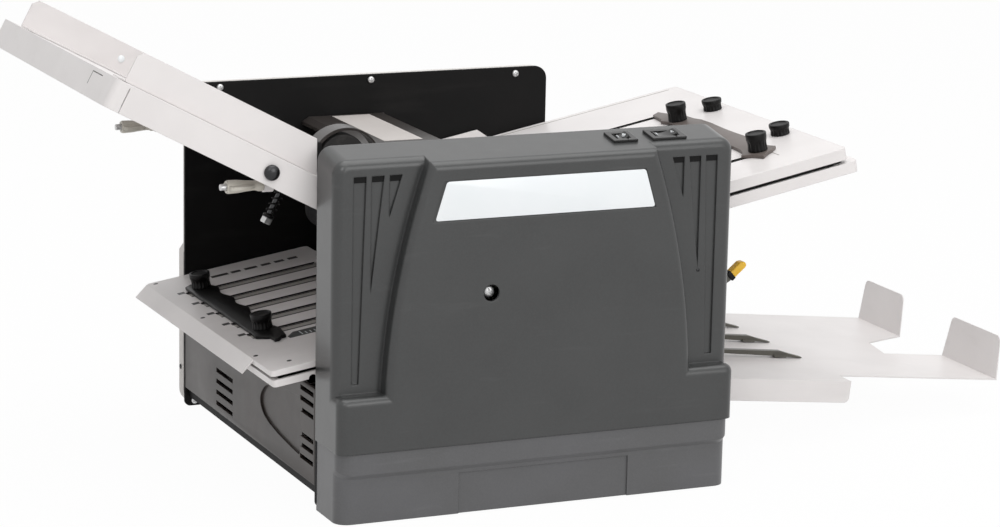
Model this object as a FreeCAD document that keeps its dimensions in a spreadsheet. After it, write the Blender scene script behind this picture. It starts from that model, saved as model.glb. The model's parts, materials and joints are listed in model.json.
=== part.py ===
import FreeCAD, Part
import math
import os
import re

import Sketcher

# Desk-top paper folding machine (buckle folder), millimetres, +Z up.
#
# The machine frame used by the sizes below has X along the paper path, Y away
# from the operator's side and Z up.  X = 0 is the middle of the near cover,
# Y = 0 its back rim and Z = 0 the desk.  row_shift_x and row_shift_y move the
# whole machine so that the origin is the bottom centre of its bounding box.
#
# Paper slides down the feed table, passes the feed wheel and rollers 1 and 2,
# buckles in fold table 1, passes rollers 2 and 3, buckles in fold table 2,
# passes rollers 3 and 4 and leaves over the exit roller on to the exit tray.

doc = FreeCAD.newDocument("FoldingMachine")
dims = doc.addObject("Spreadsheet::Sheet", "Dims")
aliases = []


def size(alias, number, meaning):
    """Write one driving dimension into the sheet under its alias."""
    row = len(aliases) + 1
    dims.set(f"A{row}", meaning)
    dims.set(f"B{row}", str(number))
    dims.setAlias(f"B{row}", alias)
    aliases.append(alias)


# --- whole machine -------------------------------------------------------
size("row_shift_x", -87.1, "shift of the machine frame to the row origin along X")
size("row_shift_y", -152.8, "shift of the machine frame to the row origin along Y")
size("sheet_metal", 1.5, "thickness of the folded sheet trays")
size("free_play", 0.3, "gap between curved faces that move on each other")

# --- side frames ---------------------------------------------------------
size("frame_gap", 340, "distance from the near plate's outer face to the far plate's inner face")
size("plate_thick", 3, "side plate thickness")
size("plate_half", 178, "half length of the side plates")
size("plate_top", 302, "top of the side plates above the desk")
size("plate_base", 14, "lower edge of the side plates")
size("plate_round", 12, "corner radius of the side plates")
size("lobe_width", 17, "width of the ears at the lower corners of the plates")
size("lobe_base", 3, "lower end of the ears")
size("rod_radius", 5, "radius of the tie rods")

# --- near cover ----------------------------------------------------------
size("cover_half", 179, "half length of the near cover")
size("cover_top", 306, "top of the cover at its back rim")
size("cover_front", 297, "height of the cover's top at the front")
size("panel_depth", 54, "depth of the middle panel")
size("pillar_depth", 40, "depth of the recessed corner pillars")
size("parting", 61, "height of the line between upper and lower cover")
size("ledge", 43, "height at which the lower cover steps in")
size("skirt_depth", 49, "depth of the lower cover under the ledge")
size("lower_half", 177.5, "half length of the lower cover")
size("cover_wall", 3, "wall of the moulded covers")
size("pillar_sill", 108, "lower end of the pillar recesses")
size("pillar_in_top", 97, "inner edge of a pillar at the top")
size("pillar_in_mid", 127, "inner edge of a pillar half way down")
size("pillar_in_low", 138, "inner edge of a pillar at its sill")
size("cover_round", 12, "radius of the upright outer edges")
size("front_round", 8, "radius round the fronts of the pillars")
size("panel_round", 7, "radius round the middle panel")
size("plate_mark_top", 282, "top of the name plate recess")
size("plate_mark_low", 249, "bottom of the name plate recess")
size("mark_half_top", 90, "half width of the recess at its top")
size("mark_half_low", 100, "half width of the recess at its bottom")
size("access_x", -47, "access hole in the panel, along X")
size("access_z", 187, "access hole in the panel, height")
size("access_radius", 7, "radius of the access hole")
size("groove_top", 287, "upper end of the pillar grooves")
size("groove_deep", 2, "depth of the pillar grooves")

# --- rocker switches -----------------------------------------------------
size("switch_near", -33, "front edge of the switch cut-outs")
size("switch_far", -12, "rear edge of the switch cut-outs")
size("feed_switch_low", 70, "left edge of the feed switch")
size("feed_switch_high", 92, "right edge of the feed switch")
size("power_switch_low", 106, "left edge of the power switch")
size("power_switch_high", 137, "right edge of the power switch")
size("bezel_rim", 2.5, "width of the switch bezel's rim")

# --- far cover, base -----------------------------------------------------
size("far_cover_depth", 15, "depth of the far cover")
size("far_cover_low", 4, "lower edge of the far cover")
size("end_cover_low", 21, "lower edge of the base end covers")
size("left_cover_top", 103, "upper edge of the left end cover")
size("right_cover_top", 49, "upper edge of the right end cover")
size("pan_height", 12, "underside of the base pan")
size("foot_radius", 11, "radius of the rubber feet")

# --- feed table ----------------------------------------------------------
size("feed_x", -344.4, "outer upper corner of the feed table, along X")
size("feed_z", 368.6, "outer upper corner of the feed table, height")
size("feed_tilt", 27.8, "downward slope of the feed table in degrees")
size("feed_length", 312, "length of the feed table down the slope")
size("table_near", 5, "near edge of the three paper tables")
size("table_far", 338, "far edge of the three paper tables")
size("feed_flange", 24.5, "depth of the feed table's flanges")
size("feed_flange_end", 212, "distance down the slope where the deep flanges end")
size("guide_height", 27, "height of the paper guides")
size("guide_start", 9, "upper end of the near guide down the slope")
size("guide_end", 191.5, "lower end of the guides down the slope")
size("near_guide_y", 12, "outer face of the near guide")
size("far_guide_y", 331, "outer face of the far guide")
size("guide_stud", 163.5, "clamp stud of the guides down the slope")
size("guide_travel", 60, "travel of each paper guide")
size("nut_x", -215.3, "inner face of the wing nuts, along X")
size("nut_z", 271, "axis of the wing nuts, height")
size("nut_long", 31, "length of the wing nuts")
size("pivot_down", 151.8, "table pivot, down the slope")
size("pivot_under", -13.4, "table pivot, below the deck")
size("support_down", 235, "support rod, down the slope")
size("support_under", -14, "support rod, below the deck")
size("feed_shaft_x", -93, "feed shaft, along X")
size("feed_shaft_z", 261, "feed shaft, height")
size("feed_wheel_radius", 21.2, "radius of the feed wheel")
size("pad_top", 0.4, "top of the separator pad above the deck")
size("centre_y", 171.5, "middle between the side plates")

# --- fold rollers --------------------------------------------------------
size("roller_radius", 18.85, "radius of the fold rollers")
size("roller_pitch", 38, "distance between the axes of rollers that touch")
size("shaft_radius", 5, "radius of the roller journals")
size("roller_2_x", -45.4, "axis of the main roller, along X")
size("roller_2_z", 182, "axis of the main roller, height")
size("nip_1_lean", 9, "lean of nip 1 from upright, degrees")
size("nip_2_lean", 45, "slope of nip 2, degrees")
size("nip_3_lean", 30, "lean of nip 3 from upright, degrees")
size("gear_teeth", 19, "teeth of each roller gear")
size("gear_module", 2, "module of the roller gears")
size("gear_width", 9, "face width of the roller gears")

# --- drive ---------------------------------------------------------------
size("motor_x", 75, "motor shaft, along X")
size("motor_z", 55, "motor shaft, height")
size("motor_radius", 33, "radius of the motor")
size("motor_length", 108, "length of the motor")
size("motor_pulley_radius", 12, "radius of the motor pulley")
size("drive_pulley_radius", 30, "radius of the pulley on roller 4")
size("exit_pulley_radius", 15, "radius of the pulley on the exit roller")
size("exit_x", 150, "exit roller, along X")
size("exit_z", 63, "exit roller, height")
size("exit_radius", 11, "radius of the exit rings")
size("feed_pulley_radius", 13, "radius of both pulleys of the feed belt")
size("belt_thick", 1.6, "thickness of the drive belts")

# --- fold table 1 --------------------------------------------------------
size("table_1_x", -10, "mouth of fold table 1, along X")
size("table_1_z", 198, "mouth of fold table 1, height")
size("table_1_rise", 11.3, "upward slope of fold table 1 in degrees")
size("table_1_upper", 332, "length of the upper plate of table 1")
size("table_1_lower", 341, "length of the lower plate of table 1")
size("table_1_flange", 10, "depth of the flanges of table 1")
size("channel", 3.2, "paper gap of the fold tables")
size("table_1_bar", 272.5, "middle of the stop bar of table 1, up the slope")
size("short_knob", 315.5, "short knobs of table 1, up the slope")
size("row_pitch_1", 39, "spacing of the stop slots of table 1")
size("row_centre_1", 155.8, "middle of the six slots of table 1, along Y")
size("slot_width", 7, "width of the stop slots")

# --- fold table 2 --------------------------------------------------------
size("table_2_x", -60, "mouth of fold table 2, along X")
size("table_2_z", 137.6, "mouth of fold table 2, height")
size("table_2_rise", 9.2, "upward slope of fold table 2 towards the mouth in degrees")
size("table_2_upper", 156.5, "length of the upper plate of table 2")
size("table_2_lower", 156, "length of the lower plate of table 2")
size("table_2_flange", 5, "depth of the flanges of table 2")
size("table_2_bar", -123, "middle of the stop bar of table 2, along the slope")
size("row_pitch_2", 40.5, "spacing of the stop slots of table 2")
size("row_centre_2", 177, "middle of the six slots of table 2, along Y")

# --- exit ----------------------------------------------------------------
size("tray_x", 166, "inner end of the exit tray, along X")
size("tray_z", 72.4, "inner end of the exit tray, height")
size("tray_fall", 6.1, "downward slope of the exit tray in degrees")
size("tray_length", 188.5, "length of the exit tray")
size("tray_near", 50, "near edge of the exit tray")
size("tray_flange", 20, "depth of the exit tray's flanges")
size("tongue_end", 362, "outer end of the exit extension from the tray's inner end")
size("tongue_root", 307, "inner end of the notch in the exit extension")
size("tab_height", 38, "height of the upright end tabs")
size("stacker_x", 160, "stacker pivot, along X")
size("stacker_z", 116, "stacker pivot, height")
size("finger_near", 140, "nearest hold-down finger, along Y")
size("finger_pitch", 62, "spacing of the three hold-down fingers")

# --- knobs ---------------------------------------------------------------
size("knob_top", 9, "radius of a knob's rim")
size("knob_waist", 7.4, "radius of a knob's waist")
size("tall_knob", 16, "height of the tall knobs")
size("low_knob", 10, "height of the short knobs")

doc.recompute()

ALIAS_WORD = re.compile(r"\b(" + "|".join(sorted(aliases, key=len, reverse=True)) + r")\b")


def linked(formula):
    """Turn a formula in aliases into one that other objects can read."""
    return ALIAS_WORD.sub(r"Dims.\1", str(formula))


def value(formula):
    """Number that a formula in aliases gives now."""
    number = dims.evalExpression(str(formula))
    return float(getattr(number, "Value", number))


def bind(thing, prop, formula):
    """Tie one property of a document object to the sheet."""
    thing.setExpression(prop, linked(formula))


# ---------------------------------------------------------------- places

MACHINE = ("row_shift_x", "row_shift_y", "0", "0")
FEED_TABLE = ("row_shift_x + feed_x", "row_shift_y", "feed_z", "feed_tilt")
TABLE_1 = ("row_shift_x + table_1_x", "row_shift_y", "table_1_z", "-table_1_rise")
TABLE_2 = ("row_shift_x + table_2_x", "row_shift_y", "table_2_z", "-table_2_rise")
EXIT_TRAY = ("row_shift_x + tray_x", "row_shift_y", "tray_z", "tray_fall")

# Roller axes, each worked out from the one it touches.
ROLLER_AXES = {
    1: ("roller_2_x + roller_pitch * sin(nip_1_lean * 1deg)",
        "roller_2_z + roller_pitch * cos(nip_1_lean * 1deg)"),
    2: ("roller_2_x", "roller_2_z"),
    3: ("roller_2_x + roller_pitch * cos(nip_2_lean * 1deg)",
        "roller_2_z - roller_pitch * sin(nip_2_lean * 1deg)"),
    4: ("roller_2_x + roller_pitch * (cos(nip_2_lean * 1deg) - sin(nip_3_lean * 1deg))",
        "roller_2_z - roller_pitch * (sin(nip_2_lean * 1deg) + cos(nip_3_lean * 1deg))"),
}
FEED_AXIS = ("feed_shaft_x", "feed_shaft_z")
EXIT_AXIS = ("exit_x", "exit_z")
MOTOR_AXIS = ("motor_x", "motor_z")
STACKER_AXIS = ("stacker_x", "stacker_z")


def put(thing, place):
    """Place a sub-part: a shift along X, Y and Z and a tilt about the Y axis."""
    shift_x, shift_y, shift_z, tilt = place
    thing.Placement = FreeCAD.Placement(FreeCAD.Vector(), FreeCAD.Rotation(FreeCAD.Vector(0, 1, 0), 1))
    bind(thing, "Placement.Base.x", shift_x)
    bind(thing, "Placement.Base.y", shift_y)
    bind(thing, "Placement.Base.z", shift_z)
    bind(thing, "Placement.Rotation.Angle", tilt)


# ---------------------------------------------------------------- features

sub_parts = []


def new_body(label, place=MACHINE):
    """Start a sub-part as a PartDesign body at a place."""
    body = doc.addObject("PartDesign::Body", label)
    body.Label = label
    put(body, place)
    sub_parts.append(body)
    return body


def new_sketch(body, plane, level):
    """Sketch on an origin plane of the body, moved along the plane's normal.

    The normals are +Z for XY, -Y for XZ and +X for YZ.
    """
    sketch = body.newObject("Sketcher::SketchObject", body.Label + "_sketch")
    base = [item for item in body.Origin.OriginFeatures if item.Role == plane + "_Plane"][0]
    sketch.AttachmentSupport = [(base, "")]
    sketch.MapMode = "FlatFace"
    sign = "-1" if plane == "XZ" else "1"
    bind(sketch, "AttachmentOffset.Base.z", f"{sign} * ({level})")
    return sketch


def hold(sketch, kind, geometry, point, formula, name):
    """Hold one point of the sketch at a formula's distance from its origin."""
    number = sketch.addConstraint(Sketcher.Constraint(kind, -1, 1, geometry, point, value(formula)))
    sketch.renameConstraint(number, name)
    bind(sketch, "Constraints." + name, formula)


def draw_outline(sketch, corners):
    """Closed outline through corners.

    A corner is a pair of formulas; a third entry makes the side that leaves it
    an arc through that middle point instead of a straight line.
    """
    points = [FreeCAD.Vector(value(corner[0]), value(corner[1]), 0) for corner in corners]
    first = sketch.GeometryCount
    for index, corner in enumerate(corners):
        start, end = points[index], points[(index + 1) % len(points)]
        if len(corner) == 3:
            middle = FreeCAD.Vector(value(corner[2][0]), value(corner[2][1]), 0)
            side = Part.Arc(start, middle, end)
        else:
            side = Part.LineSegment(start, end)
        sketch.addGeometry(side, False)
    ends = []
    for index, corner in enumerate(corners):
        start = sketch.getPoint(first + index, 1)
        runs_back = start.distanceToPoint(points[index]) > 1e-6
        ends.append((2, 1) if runs_back else (1, 2))
    for index in range(len(corners)):
        after = (index + 1) % len(corners)
        sketch.addConstraint(Sketcher.Constraint(
            "Coincident", first + index, ends[index][1], first + after, ends[after][0]))
    for index, corner in enumerate(corners):
        mark = f"p{first + index}"
        hold(sketch, "DistanceX", first + index, ends[index][0], corner[0], mark + "x")
        hold(sketch, "DistanceY", first + index, ends[index][0], corner[1], mark + "y")
        if len(corner) == 3:
            sketch.addConstraint(Sketcher.Constraint(
                "Radius", first + index, sketch.Geometry[first + index].Radius))


def draw_circles(sketch, centres, radius):
    """Circles of one radius about pairs of formulas."""
    for centre in centres:
        number = sketch.GeometryCount
        where = FreeCAD.Vector(value(centre[0]), value(centre[1]), 0)
        sketch.addGeometry(Part.Circle(where, FreeCAD.Vector(0, 0, 1), value(radius)), False)
        hold(sketch, "DistanceX", number, 3, centre[0], f"c{number}x")
        hold(sketch, "DistanceY", number, 3, centre[1], f"c{number}y")
        held = sketch.addConstraint(Sketcher.Constraint("Radius", number, value(radius)))
        sketch.renameConstraint(held, f"r{number}")
        bind(sketch, f"Constraints.r{number}", radius)


def extrude(body, plane, low, high, cut, draw):
    """Pad or pocket between two levels along the axis that crosses the plane.

    Pads grow along the plane's normal and pockets against it, so the sketch
    stands on the low level or the high one accordingly.
    """
    start = low if (plane == "XZ") == cut else high
    sketch = new_sketch(body, plane, start)
    draw(sketch)
    feature = body.newObject("PartDesign::Pocket" if cut else "PartDesign::Pad", body.Label + "_step")
    feature.Profile = sketch
    bind(feature, "Length", f"({high}) - ({low})")
    body.Tip = feature
    return feature


def slab(body, plane, low, high, *outlines):
    """Add material inside outlines between two levels."""
    return extrude(body, plane, low, high, False,
                   lambda sketch: [draw_outline(sketch, corners) for corners in outlines])


def cut_slab(body, plane, low, high, *outlines):
    """Remove material inside outlines between two levels."""
    return extrude(body, plane, low, high, True,
                   lambda sketch: [draw_outline(sketch, corners) for corners in outlines])


def disc(body, plane, low, high, centres, radius):
    """Add round discs between two levels."""
    return extrude(body, plane, low, high, False, lambda sketch: draw_circles(sketch, centres, radius))


def bore(body, plane, low, high, centres, radius):
    """Cut round holes between two levels."""
    return extrude(body, plane, low, high, True, lambda sketch: draw_circles(sketch, centres, radius))


def turned(body, profile):
    """Revolve a half profile, pairs of radius and height, about the body's Z axis."""
    sketch = new_sketch(body, "XZ", "0")
    draw_outline(sketch, profile)
    feature = body.newObject("PartDesign::Revolution", body.Label + "_turn")
    feature.Profile = sketch
    feature.ReferenceAxis = (sketch, ["V_Axis"])
    feature.Angle = 360
    body.Tip = feature
    return feature


def box_outline(low_a, high_a, low_b, high_b):
    """Four corners of a rectangle."""
    return [(low_a, low_b), (high_a, low_b), (high_a, high_b), (low_a, high_b)]


def round_edges(body, radius, chosen):
    """Fillet the edges of the body's tip whose middle and direction pass a test."""
    doc.recompute()
    tip = body.Tip
    names = []
    for number, edge in enumerate(tip.Shape.Edges, start=1):
        if edge.Degenerated:
            continue
        middle = edge.valueAt((edge.FirstParameter + edge.LastParameter) / 2)
        along = edge.tangentAt((edge.FirstParameter + edge.LastParameter) / 2)
        if chosen(middle, along):
            names.append(f"Edge{number}")
    fillet = body.newObject("PartDesign::Fillet", body.Label + "_round")
    fillet.Base = (tip, names)
    bind(fillet, "Radius", radius)
    body.Tip = fillet
    return fillet


def near(first, second):
    """True where two lengths are the same within a twentieth of a millimetre."""
    return abs(first - second) < 0.05


def group(label, members, place=MACHINE):
    """One sub-part made of separate, equal solids."""
    compound = doc.addObject("Part::Compound", label)
    compound.Label = label
    compound.Links = members
    put(compound, place)
    sub_parts.append(compound)
    return compound


def rod_along_y(name, axis, low, high, radius):
    """Plain round rod along Y, for groups."""
    rod = doc.addObject("Part::Cylinder", name)
    rod.Placement = FreeCAD.Placement(FreeCAD.Vector(), FreeCAD.Rotation(FreeCAD.Vector(1, 0, 0), -90))
    bind(rod, "Placement.Base.x", axis[0])
    bind(rod, "Placement.Base.y", low)
    bind(rod, "Placement.Base.z", axis[1])
    bind(rod, "Height", f"({high}) - ({low})")
    bind(rod, "Radius", radius)
    return rod


# ---------------------------------------------------------------- side frames

TIE_RODS = {
    "support": ("feed_x + support_down * cos(feed_tilt * 1deg) + support_under * sin(feed_tilt * 1deg)",
                "feed_z - support_down * sin(feed_tilt * 1deg) + support_under * cos(feed_tilt * 1deg)"),
    "base_left": ("-160", "48"),
    "base_right": ("162", "34"),
    "middle": ("105", "178"),
}
TURNING_AXES = list(ROLLER_AXES.values()) + [FEED_AXIS, EXIT_AXIS, STACKER_AXIS]


def side_plate(label, low, high):
    """Steel side plate with an ear at each lower corner and holes for the bearings."""
    body = new_body(label)
    slab(body, "XZ", low, high, [
        ("-plate_half", "lobe_base"), ("-plate_half + lobe_width", "lobe_base"),
        ("-plate_half + lobe_width + 4", "plate_base"), ("plate_half - lobe_width - 4", "plate_base"),
        ("plate_half - lobe_width", "lobe_base"), ("plate_half", "lobe_base"),
        ("plate_half", "plate_top"), ("-plate_half", "plate_top")])
    bore(body, "XZ", low, high, TURNING_AXES, "shaft_radius + 3")
    half, top, base = value("plate_half"), value("plate_top"), value("lobe_base")
    round_edges(body, "plate_round", lambda middle, along: abs(along.y) > 0.9
                and near(abs(middle.x), half) and near(middle.z, top))
    round_edges(body, "5", lambda middle, along: abs(along.y) > 0.9 and near(middle.z, base))
    return body


def make_near_plate():
    """Near side plate, with the hole that the motor's shaft passes."""
    body = side_plate("near_frame_plate", "0", "plate_thick")
    bore(body, "XZ", "0", "plate_thick", [MOTOR_AXIS], "14")


def make_bearings():
    """Flanged bushes of every turning shaft, in both side plates."""
    body = new_body("shaft_bearings")
    axes = TURNING_AXES
    sets = (("-2.5", "0", "plate_thick"), ("frame_gap + plate_thick + 2.5", "frame_gap", "frame_gap + plate_thick"))
    disc(body, "XZ", "-2.5", "0", axes, "shaft_radius + 5")
    disc(body, "XZ", "0", "plate_thick", axes, "shaft_radius + 3")
    disc(body, "XZ", "frame_gap", "frame_gap + plate_thick", axes, "shaft_radius + 3")
    disc(body, "XZ", "frame_gap + plate_thick", "frame_gap + plate_thick + 2.5", axes, "shaft_radius + 5")
    bore(body, "XZ", "-2.5", "frame_gap + plate_thick + 2.5", axes, "shaft_radius + free_play")


def make_tie_rods():
    """Round spacers that hold the side plates apart."""
    rods = [rod_along_y("rod_" + name, axis, "plate_thick", "frame_gap", "rod_radius")
            for name, axis in TIE_RODS.items()]
    group("tie_rods", rods)


def make_plate_screws():
    """Domed screws on the far plate, seen from inside."""
    screws = []
    for name, across, high in (("left", "-145", "297"), ("middle", "1", "297"), ("right", "146", "296"),
                               ("low_left", "-169", "8"), ("low_right", "169", "8")):
        head = doc.addObject("Part::Sphere", "screw_" + name)
        head.Placement = FreeCAD.Placement(FreeCAD.Vector(), FreeCAD.Rotation(FreeCAD.Vector(1, 0, 0), 90))
        head.Angle1 = 0
        bind(head, "Radius", "3.2")
        bind(head, "Placement.Base.x", across)
        bind(head, "Placement.Base.y", "frame_gap")
        bind(head, "Placement.Base.z", high)
        screws.append(head)
    group("plate_screws", screws)


# ---------------------------------------------------------------- covers

def make_near_cover():
    """Moulded cover over the drive side: deep panel, recessed pillars, sloping top."""
    body = new_body("near_cover")
    slab(body, "YZ", "-cover_half", "cover_half", [
        ("0", "parting"), ("-panel_depth", "parting"),
        ("-panel_depth", "cover_front"), ("0", "cover_top")])
    for side in ("-1", "1"):
        cut_slab(body, "XZ", "-panel_depth", "-pillar_depth", [
            (f"{side} * pillar_in_top", "cover_top + 4",
             (f"{side} * pillar_in_mid", "(cover_front + pillar_sill) / 2")),
            (f"{side} * pillar_in_low", "pillar_sill"),
            (f"{side} * (cover_half + 4)", "pillar_sill"), (f"{side} * (cover_half + 4)", "cover_top + 4")])
    half, pillar, panel = value("cover_half"), value("pillar_depth"), value("panel_depth")
    front_top, low_edge, sill = value("cover_front"), value("parting") + 1, value("pillar_sill")
    round_edges(body, "cover_round", lambda middle, along: abs(along.y) > 0.9
                and near(abs(middle.x), half) and middle.z > front_top)
    round_edges(body, "front_round", lambda middle, along: near(middle.y, -pillar)
                and middle.z > sill + 1 and (abs(middle.x) > half - 14 or middle.z > front_top - 1))
    round_edges(body, "front_round", lambda middle, along: near(middle.y, -panel)
                and near(abs(middle.x), half))
    round_edges(body, "panel_round", lambda middle, along: near(middle.y, -panel)
                and abs(middle.x) < half - 9 and middle.z > low_edge)
    inner, rear, front = "cover_half - cover_wall", "-pillar_depth + cover_wall", "-panel_depth + cover_wall"
    cut_slab(body, "XY", "parting - 1", "cover_front - 8", [
        (f"-({inner})", "0"),
        (f"-({inner})", f"{rear} + 9", (f"-({inner}) + 2.64", f"{rear} + 2.64")),
        (f"-({inner}) + 9", rear), ("-pillar_in_top + 5", rear), ("-pillar_in_top + 5", front),
        ("pillar_in_top - 5", front), ("pillar_in_top - 5", rear),
        (f"{inner} - 9", rear, (f"{inner} - 2.64", f"{rear} + 2.64")),
        (inner, f"{rear} + 9"), (inner, "0")])
    for side in ("-1", "1"):
        grooves = [
            [(f"{side} * 163", "groove_top"), (f"{side} * 163", "116"),
             (f"{side} * 157", "116"), (f"{side} * 152", "groove_top")],
            [(f"{side} * 147.5", "groove_top"), (f"{side} * 147.5", "190"), (f"{side} * 136.5", "groove_top")],
            [(f"{side} * 132", "groove_top"), (f"{side} * 132", "252"), (f"{side} * 121", "groove_top")]]
        cut_slab(body, "XZ", "-pillar_depth", "-pillar_depth + groove_deep", *grooves)
    cut_slab(body, "XZ", "-panel_depth", "-panel_depth + 0.8", [
        ("-mark_half_top", "plate_mark_top"), ("mark_half_top", "plate_mark_top"),
        ("mark_half_low", "plate_mark_low"), ("-mark_half_low", "plate_mark_low")])
    bore(body, "XZ", "-panel_depth", "-panel_depth + 8", [("access_x", "access_z")], "access_radius")
    cut_slab(body, "XY", "cover_front - 15", "cover_top + 1",
             box_outline("feed_switch_low + bezel_rim", "feed_switch_high - bezel_rim",
                         "switch_near + bezel_rim", "switch_far - 0.5"),
             box_outline("power_switch_low + bezel_rim", "power_switch_high - bezel_rim",
                         "switch_near + bezel_rim", "switch_far - 0.5"))


def make_lower_cover():
    """Lower moulding of the drive side, stepped in under a ledge, with a shallow recess."""
    body = new_body("lower_cover")
    slab(body, "YZ", "-lower_half", "lower_half", [
        ("0", "1"), ("-skirt_depth", "1"), ("-skirt_depth", "ledge - 4"),
        ("-panel_depth + 1.5", "ledge"), ("-panel_depth + 1.5", "parting - 0.5"), ("0", "parting - 0.5")])
    half = value("lower_half")
    round_edges(body, "cover_round", lambda middle, along: abs(along.z) > 0.6
                and near(abs(middle.x), half) and middle.y < -1)
    inner = "lower_half - cover_wall"
    cut_slab(body, "XZ", "-skirt_depth + cover_wall + 2", "0",
             box_outline(f"-({inner} - 6)", f"{inner} - 6", "1 + cover_wall", "parting + 2"))
    cut_slab(body, "XZ", "-skirt_depth", "-skirt_depth + 1.5",
             box_outline("-71", "83", "0", "ledge - 7"))


def make_far_cover():
    """Shallow pressed cover over the belts behind the far plate."""
    body = new_body("far_cover")
    inner_face = "frame_gap + plate_thick"
    slab(body, "XZ", inner_face, f"{inner_face} + far_cover_depth",
         box_outline("-plate_half - 0.5", "plate_half + 0.5", "far_cover_low", "plate_top - 1"))
    half = value("plate_half + 0.5")
    round_edges(body, "plate_round", lambda middle, along: abs(along.y) > 0.9 and near(abs(middle.x), half))
    back = value(f"{inner_face} + far_cover_depth")
    round_edges(body, "3", lambda middle, along: near(middle.y, back))
    cut_slab(body, "XZ", inner_face, f"{inner_face} + far_cover_depth - 2",
             box_outline("-plate_half + 3.5", "plate_half - 3.5", "far_cover_low + 4", "plate_top - 5"))
    cut_slab(body, "XZ", inner_face, f"{inner_face} + far_cover_depth",
             box_outline("-140", "-112", "30", "50"))


def make_power_inlet():
    """Mains inlet in the far cover, a socket with three flat pins."""
    body = new_body("power_inlet")
    outer = "frame_gap + plate_thick + far_cover_depth"
    slab(body, "XZ", f"{outer}", f"{outer} + 1.5", box_outline("-143", "-109", "27.5", "52.5"))
    slab(body, "XZ", f"{outer} - 12", f"{outer}", box_outline("-140", "-112", "30", "50"))
    cut_slab(body, "XZ", f"{outer} - 9", f"{outer} + 1.5",
             [("-138", "32"), ("-114", "32"), ("-114", "44"), ("-118", "48"), ("-134", "48"), ("-138", "44")])
    slab(body, "XZ", f"{outer} - 9", f"{outer} - 1",
         box_outline("-127", "-125", "41", "45"),
         box_outline("-134", "-132", "35", "39"), box_outline("-120", "-118", "35", "39"))


def vent_slots(low, high, levels):
    """Outlines of level slots, one above the other."""
    return [box_outline(low, high, level, f"{level} + 4") for level in levels]


def make_left_end_cover():
    """Moulded cover of the base under fold table 2, with vents and a finger scoop."""
    body = new_body("left_end_cover")
    slab(body, "YZ", "-plate_half", "-plate_half + 3",
         box_outline("plate_thick + 0.5", "frame_gap - 0.5", "end_cover_low", "left_cover_top"))
    slab(body, "YZ", "-plate_half + 3", "-plate_half + 13",
         box_outline("150", "190", "end_cover_low", "end_cover_low + 4"))
    cut_slab(body, "YZ", "-plate_half", "-plate_half + 3",
             *vent_slots("208", "252", ("27", "37", "47", "57")),
             *vent_slots("plate_thick + 4", "38", ("76", "86", "95")),
             *vent_slots("plate_thick + 4", "38", ("36", "46", "55")))
    cut_slab(body, "YZ", "-plate_half", "-plate_half + 1.8", [
        ("132", "62"), ("136", "47"), ("105", "38"), ("65", "32"), ("44", "36"), ("42", "84")])


def make_right_end_cover():
    """Cover of the base under the exit tray."""
    body = new_body("right_end_cover")
    slab(body, "YZ", "plate_half - 3", "plate_half",
         box_outline("plate_thick + 0.5", "frame_gap - 0.5", "end_cover_low", "right_cover_top"))
    slab(body, "YZ", "plate_half - 13", "plate_half - 3",
         box_outline("150", "190", "end_cover_low", "end_cover_low + 4"))
    cut_slab(body, "YZ", "plate_half - 3", "plate_half",
             *vent_slots("60", "110", ("27", "35", "43")),
             *vent_slots("230", "280", ("27", "35", "43")))


def make_base_pan():
    """Folded floor pan between the side plates that carries the motor."""
    body = new_body("base_pan")
    slab(body, "XZ", "plate_thick", "frame_gap", [
        ("-plate_half + 4", "end_cover_low"), ("-plate_half + 4", "pan_height"),
        ("plate_half - 4", "pan_height"), ("plate_half - 4", "end_cover_low"),
        ("plate_half - 5.5", "end_cover_low"), ("plate_half - 5.5", "pan_height + sheet_metal"),
        ("-plate_half + 5.5", "pan_height + sheet_metal"), ("-plate_half + 5.5", "end_cover_low")])


def make_feet():
    """Four rubber feet under the base pan."""
    feet = []
    for name, across, along_y in (("a", "-140", "30"), ("b", "140", "30"), ("c", "-140", "312"), ("d", "140", "312")):
        foot = doc.addObject("Part::Cone", "foot_" + name)
        bind(foot, "Radius1", "foot_radius - 2")
        bind(foot, "Radius2", "foot_radius")
        bind(foot, "Height", "pan_height")
        bind(foot, "Placement.Base.x", across)
        bind(foot, "Placement.Base.y", along_y)
        feet.append(foot)
    group("rubber_feet", feet)


# ---------------------------------------------------------------- switches

SWITCHES = {"feed_rocker": ("feed_switch_low", "feed_switch_high"),
            "power_rocker": ("power_switch_low", "power_switch_high")}


def put_on_cover_top(thing):
    """Place a piece on the sloping top of the near cover."""
    thing.Placement = FreeCAD.Placement(FreeCAD.Vector(), FreeCAD.Rotation(FreeCAD.Vector(1, 0, 0), 1))
    bind(thing, "Placement.Base.x", "row_shift_x")
    bind(thing, "Placement.Base.y", "row_shift_y")
    bind(thing, "Placement.Base.z", "cover_top")
    bind(thing, "Placement.Rotation.Angle", "atan((cover_top - cover_front) / panel_depth)")


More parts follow.
